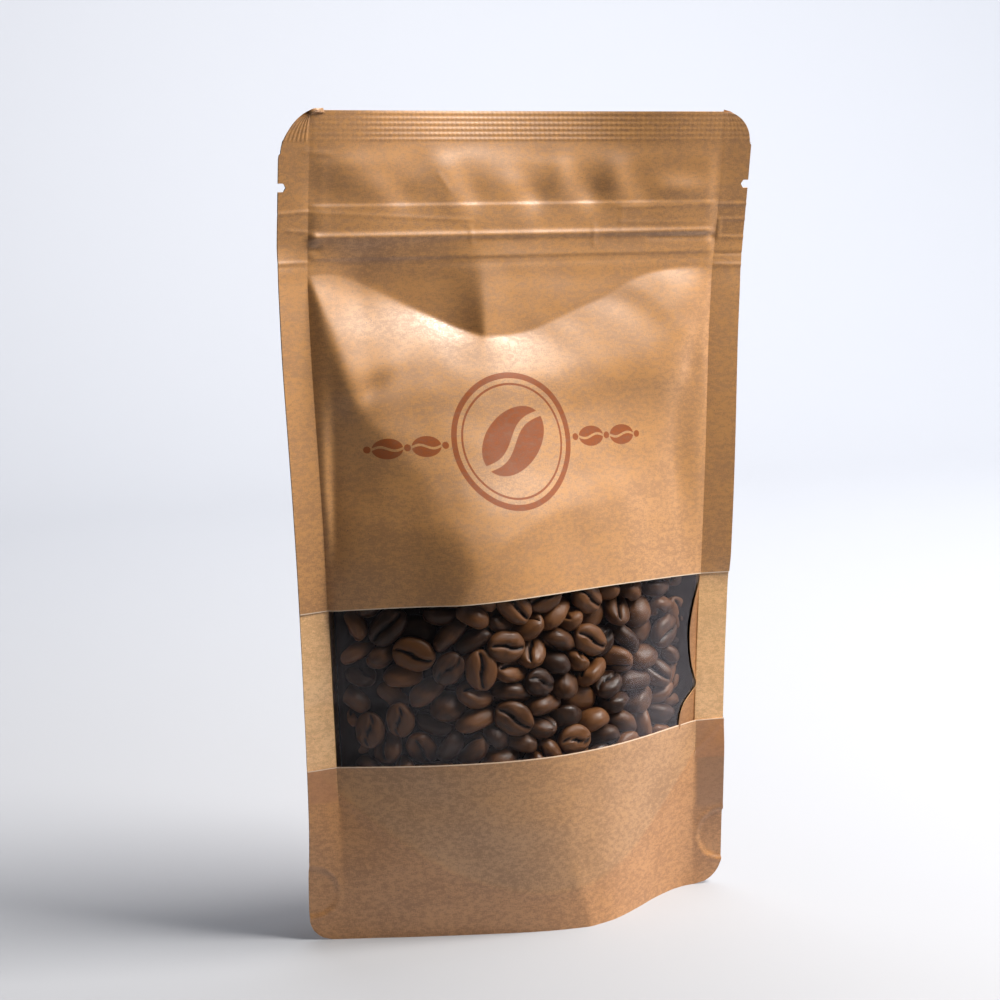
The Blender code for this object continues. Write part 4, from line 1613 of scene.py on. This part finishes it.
    def drop(self) -> list[tuple[int, Matrix]]:
        """Drop the beans, enlarged, into a box as shallow as the space behind the film.

        Returns:
            The kind of each bean and its place: X across, Y behind the film, Z up.
        """
        scene = bpy.context.scene
        bpy.ops.rigidbody.world_add()
        tune(scene.rigidbody_world, substeps_per_frame=8, solver_iterations=12)
        tune(scene.rigidbody_world.point_cache, frame_start=1, frame_end=self.frames)
        usual_pull = scene.gravity.copy()
        scene.gravity = self.pull
        walls = self.add_walls()
        hulls = [self.hull(shape) for shape in BEAN_SHAPES]
        kinds, copies = self.scatter(hulls)
        places = self.settle(copies)
        bpy.ops.rigidbody.world_remove()
        scene.gravity = usual_pull
        scene.frame_set(1)
        meshes = {piece.data for piece in hulls + walls}
        for piece in copies + hulls + walls:
            bpy.data.objects.remove(piece)
        for mesh in meshes:
            bpy.data.meshes.remove(mesh)
        return [(kind, self.shrunk(place)) for kind, place in zip(kinds, places)]

    def shrunk(self, place: Matrix) -> Matrix:
        """A place in the enlarged box, brought back to true size."""
        turn = place.to_quaternion().to_matrix().to_4x4()
        return Matrix.Translation(place.translation / self.enlarge) @ turn

    def film_frame(self, x: float, z: float) -> Matrix:
        """The place and turn of the film's inner side at a point across and up."""
        spots = np.array([[x, z], [x + MM, z], [x, z + MM]])
        v = spots[:, 1] - FORM.lift(spots[:, 0], spots[:, 1])
        u = (spots[:, 0] + FORM.sway.at(v)) * FORM.flat_seam / FORM.seam_line(v)
        here, aside, above = FORM.place(Face.FRONT, u, v, self.film_gap, fine=False)
        across = Vector(aside - here).normalized()
        inward = -across.cross(Vector(above - here)).normalized()
        turn = Matrix((across, inward, across.cross(inward))).transposed()
        return Matrix.Translation(Vector(here)) @ turn.to_4x4()

    def fit(self, points: Array) -> Array | None:
        """How far a bean has to move to lie clear of the seams and the film.

        Args:
            points: the bean's points.

        Returns:
            The move, or None where the bean has no room.
        """
        v = np.clip(points[:, 2], 0.0, FORM.height)
        room = FORM.seam_line(v) - self.seam_gap
        upright = points[:, 0] + FORM.sway.at(v)
        least = max(0.0, float((-room - upright).max())) - max(0.0, float((upright - room).max()))
        inward = math.copysign(1.0, -float(upright.mean()))
        for extra in self.inward_tries:
            aside = least + inward * extra
            x = np.clip(upright + aside, -room, room)
            u = x * FORM.flat_seam / FORM.seam_line(v)
            film = FORM.place(Face.FRONT, u, v - FORM.lift(x, v), self.film_gap, fine=False)[:, 1]
            back = FORM.place(Face.BACK, u, v, FORM.paper + self.back_gap, fine=False)[:, 1]
            push = max(0.0, float((film - points[:, 1]).max()))
            if abs(aside) <= self.most_aside and float((points[:, 1] + push - back).max()) <= 0.0:
                return np.array([aside, push, 0.0])
        return None

    def layers(self) -> list[tuple[int, Matrix]]:
        """The settled beans by the film, and the same beans turned round as a layer behind them."""
        settled = self.drop()
        turned = Matrix.Rotation(math.pi, 4, "Z")
        turned.translation = (0.0, self.deep + self.layer_step, self.layer_lift)
        return settled + [(kind, turned @ place) for kind, place in settled]

    def nestle(self, model: Array, settled: Matrix, size: float, tone: float) -> Array | None:
        """Put a bean behind the film as it settled, or else lying flat, or else lying and smaller.

        Args:
            model: the bean's points.
            settled: its place as it settled.
            size: how much it is enlarged.
            tone: its tone, which also says how it is turned when it lies flat.

        Returns:
            The placed bean's points, or None where it has no room.
        """
        place = settled.translation
        behind = self.film_frame(place.x, place.z) @ Matrix.Translation(Vector((0.0, place.y, 0.0)))
        turn = settled.to_quaternion().to_matrix().to_4x4()
        lying = Matrix.Rotation(math.tau * tone, 4, "Y") @ Matrix.Rotation(0.5 * math.pi, 4, "X")
        for pose, share in ((turn, 1.0), (lying, 1.0), (lying, self.smaller)):
            world = behind @ pose @ Matrix.Scale(size * share, 4)
            points = model @ np.array(world.to_3x3()).T + np.array(world.translation)
            move = self.fit(points)
            if move is not None:
                return points + move
        return None

    def build(self, material: bpy.types.Material) -> bpy.types.Object:
        """Drop, place and join the beans.

        Args:
            material: of the beans.

        Returns:
            The joined beans.
        """
        chance = np.random.default_rng(self.seed + 1)
        models = [self.model(shape, material) for shape in BEAN_SHAPES]
        heap = []
        for kind, settled in self.layers():
            size, tone = chance.uniform(0.98, 1.08), chance.uniform(0.0, 1.0)
            if not self.kept[0] < settled.translation.z < self.kept[1]:
                continue
            points = self.nestle(Bench.points(models[kind]), settled, size, tone)
            if points is None:
                continue
            bean = models[kind].copy()
            bean.data = models[kind].data.copy()
            bpy.context.scene.collection.objects.link(bean)
            Bench.move_points(bean, points)
            Bench.mark_points(bean, TONE, np.full(len(points), tone))
            heap.append(bean)
        Bench.take(*heap)
        bpy.ops.object.join()
        joined = Bench.named("beans")
        for model in models:
            bpy.data.objects.remove(model)
        LOG.info("beans: %d kept", len(heap))
        return joined


@dataclass
class BeanCore:
    """Painted shade: a near-black sheet standing in for the shadowed filling behind the beans that are
    modelled.
    """

    low: float = 36 * MM
    high: float = 95 * MM
    spacing: float = 1.0 * MM
    half: float = 55.5 * MM
    share: float = 0.52
    lump: float = 1.6 * MM
    thickness: float = 0.8 * MM

    def build(self, material: bpy.types.Material) -> bpy.types.Object:
        """Form the lumpy sheet behind the beans."""
        span = self.high - self.low
        core = Bench.grid("bean_core_painted_shade", round(2 * self.half / self.spacing), round(span / self.spacing))
        points = Bench.points(core)
        u, v = points[:, 0] * 2 * self.half, self.low + span * (points[:, 1] + 0.5)
        write_flat_uv(core, 0.1 * u, 0.1 * v)
        front = FORM.place(Face.FRONT, u, v, FORM.paper, fine=False)
        middle = FORM.middle(FORM.across(u, v), v)
        depth = middle - front[:, 1]
        inner = ease(self.half - np.abs(u), 0.0, 6 * MM)
        lumps = self.lump * inner * (1.0 + 2.0 * unevenness(u, v, 4.5 * MM, 3.0))
        front[:, 1] = middle - self.share * depth + lumps
        for name in (GROOVE, TONE):
            Bench.mark_points(core, name, np.zeros(len(points)))
        return Bench.form(core, front, self.thickness, (material,), 80.0)


@dataclass(frozen=True)
class SoftBox:
    """A lamp: where it hangs, the point that it faces, its size in metres and its power in watts."""

    name: str
    place: Vector
    target: Vector
    size: tuple[float, float]
    power: float
    colour: Colour

    def add(self) -> None:
        """Hang the lamp."""
        data = bpy.data.lights.new(self.name, "AREA")
        width, height = self.size
        tune(data, shape="RECTANGLE", size=width, size_y=height, energy=self.power, color=self.colour)
        light = bpy.data.objects.new(self.name, data)
        bpy.context.scene.collection.objects.link(light)
        light.location = self.place
        light.rotation_euler = (self.target - self.place).to_track_quat("-Z", "Y").to_euler()


def around_middle(azimuth: float, elevation: float, distance: float) -> Vector:
    """A place around the pouch's middle, its azimuth turning from the front to +X, in degrees."""
    turn, rise = math.radians(azimuth), math.radians(elevation)
    way = Vector((math.sin(turn) * math.cos(rise), -math.cos(turn) * math.cos(rise), math.sin(rise)))
    return MIDDLE + way * distance


MIDDLE = Vector((0.0, 0.0, 0.1))
LAMPS = (
    SoftBox("key", around_middle(62.5, 52.0, 0.85), MIDDLE, (0.44, 0.42), 16.8, (1.0, 0.968, 0.928)),
    SoftBox("card", around_middle(83.0, 4.0, 0.8), MIDDLE, (0.42, 0.80), 2.2, (0.95, 0.93, 1.0)),
    SoftBox("wall", Vector((0.9, 0.35, 1.1)), Vector((1.0, 1.1, 0.5)), (2.0, 0.6), 35.5, (0.93, 0.95, 1.0)),
)


@dataclass
class Studio:
    """Pale sweep, lights and camera."""

    world_colour: tuple[float, float, float, float] = (1.0, 0.98, 0.96, 1.0)
    world_strength: float = 0.05
    camera_at: tuple[float, float, float] = (-0.2641, -0.5736, 0.2027)
    camera_aim: tuple[float, float, float] = (-0.0065, 0.0, 0.10935)
    lens: float = 89.2
    sensor: float = 36.0
    sweep_half: float = 2.5
    sweep_front: float = -1.0
    sweep_bend: float = 0.7
    sweep_radius: float = 0.4
    sweep_top: float = 2.5

    def build(self) -> None:
        """Set up the stage."""
        bpy.context.scene.view_settings.view_transform = "Standard"
        world = bpy.data.worlds.new("studio")
        bpy.context.scene.world = world
        world.use_nodes = True
        background = world.node_tree.nodes["Background"]
        Graph(world.node_tree).wire(background, Color=self.world_colour, Strength=self.world_strength)
        self.add_camera()
        for lamp in LAMPS:
            lamp.add()
        self.add_sweep()

    def add_camera(self) -> None:
        """Add the camera."""
        data = bpy.data.cameras.new("camera")
        tune(data, lens=self.lens, sensor_width=self.sensor)
        camera = bpy.data.objects.new("camera", data)
        bpy.context.scene.collection.objects.link(camera)
        camera.location = self.camera_at
        direction = Vector(self.camera_aim) - Vector(self.camera_at)
        camera.rotation_euler = direction.to_track_quat("-Z", "Y").to_euler()
        bpy.context.scene.camera = camera

    def add_sweep(self) -> None:
        """Add the floor that curves up into a wall."""
        Bench.clear_selection()
        bpy.ops.mesh.primitive_plane_add(size=2.0 * self.sweep_half)
        sweep = Bench.named("sweep")
        self.pull_edges(sweep)
        Bench.smooth(sweep)
        sweep.data.materials.append(SweepFinish().build())

    def pull_edges(self, sweep: bpy.types.Object) -> None:
        """Trim the plane in front and behind, then spin and draw its back edge up into the wall."""
        points = Bench.points(sweep)
        points[:, 1] = np.where(points[:, 1] < 0.0, self.sweep_front, self.sweep_bend)
        Bench.move_points(sweep, points)
        bpy.ops.object.mode_set(mode="EDIT")
        bpy.ops.mesh.select_mode(type="EDGE")
        self.select_back_edge(sweep)
        bpy.ops.mesh.spin(steps=20, angle=-math.pi / 2, center=(0.0, self.sweep_bend, self.sweep_radius),
                          axis=(1.0, 0.0, 0.0))
        rise = self.sweep_top - self.sweep_radius
        bpy.ops.mesh.extrude_region_move(TRANSFORM_OT_translate={"value": (0.0, 0.0, rise)})
        bpy.ops.mesh.select_all(action="SELECT")
        bpy.ops.mesh.remove_doubles(threshold=1e-5)
        bpy.ops.mesh.normals_make_consistent(inside=False)
        bpy.ops.object.mode_set(mode="OBJECT")

    def select_back_edge(self, sweep: bpy.types.Object) -> None:
        """Select the plane's back edge alone."""
        mesh = bmesh.from_edit_mesh(sweep.data)
        for edge in mesh.edges:
            edge.select_set(all(abs(point.co.y - self.sweep_bend) < MM for point in edge.verts))
        mesh.select_flush_mode()
        bmesh.update_edit_mesh(sweep.data)


def main() -> None:
    """Build the looks piece by piece."""
    logging.basicConfig(level=logging.INFO, format="%(name)s: %(message)s")
    groups = build_paper_fibres(), Stamp().build()
    upper, lower, plain, inside, edge, painted_shade_kraft = (finish.build(*groups) for finish in KRAFT_FINISHES)
    for sheet, finish in zip(SHEETS, (upper, lower, plain)):
        piece = sheet.build((finish, inside, edge))
        Bench.hand_over(piece, "kraft_paper", ("kraft_pouch",) if sheet.name == "front_upper" else ())
    Bench.hand_over(SealBand().build((plain, plain, edge)), "kraft_paper")
    Bench.hand_over(Gusset().build((plain, inside, edge)), "kraft_paper")
    film = WindowFilm()
    # the strip by the right seam takes the painted shade copy of the kraft
    Bench.hand_over(film.build_lip((painted_shade_kraft, plain, inside)), "kraft_paper")
    Bench.hand_over(film.build(FilmFinish().build()), "clear_film", ("window_film",))
    # painted shade: a near-black bean finish for the sheet behind the beans
    core = BeanFinish("bean_painted_shade", (0.004, 0.0016, 0.001), (0.010, 0.004, 0.002), sheen=0.05)
    Bench.hand_over(BeanCore().build(core.build()), "roasted_beans")
    roasted = BeanFinish("roasted_beans").build()
    Bench.hand_over(BeanHeap().build(roasted), "roasted_beans", ("bean_fill",))
    Studio().build()


if __name__ == "__main__":
    main()
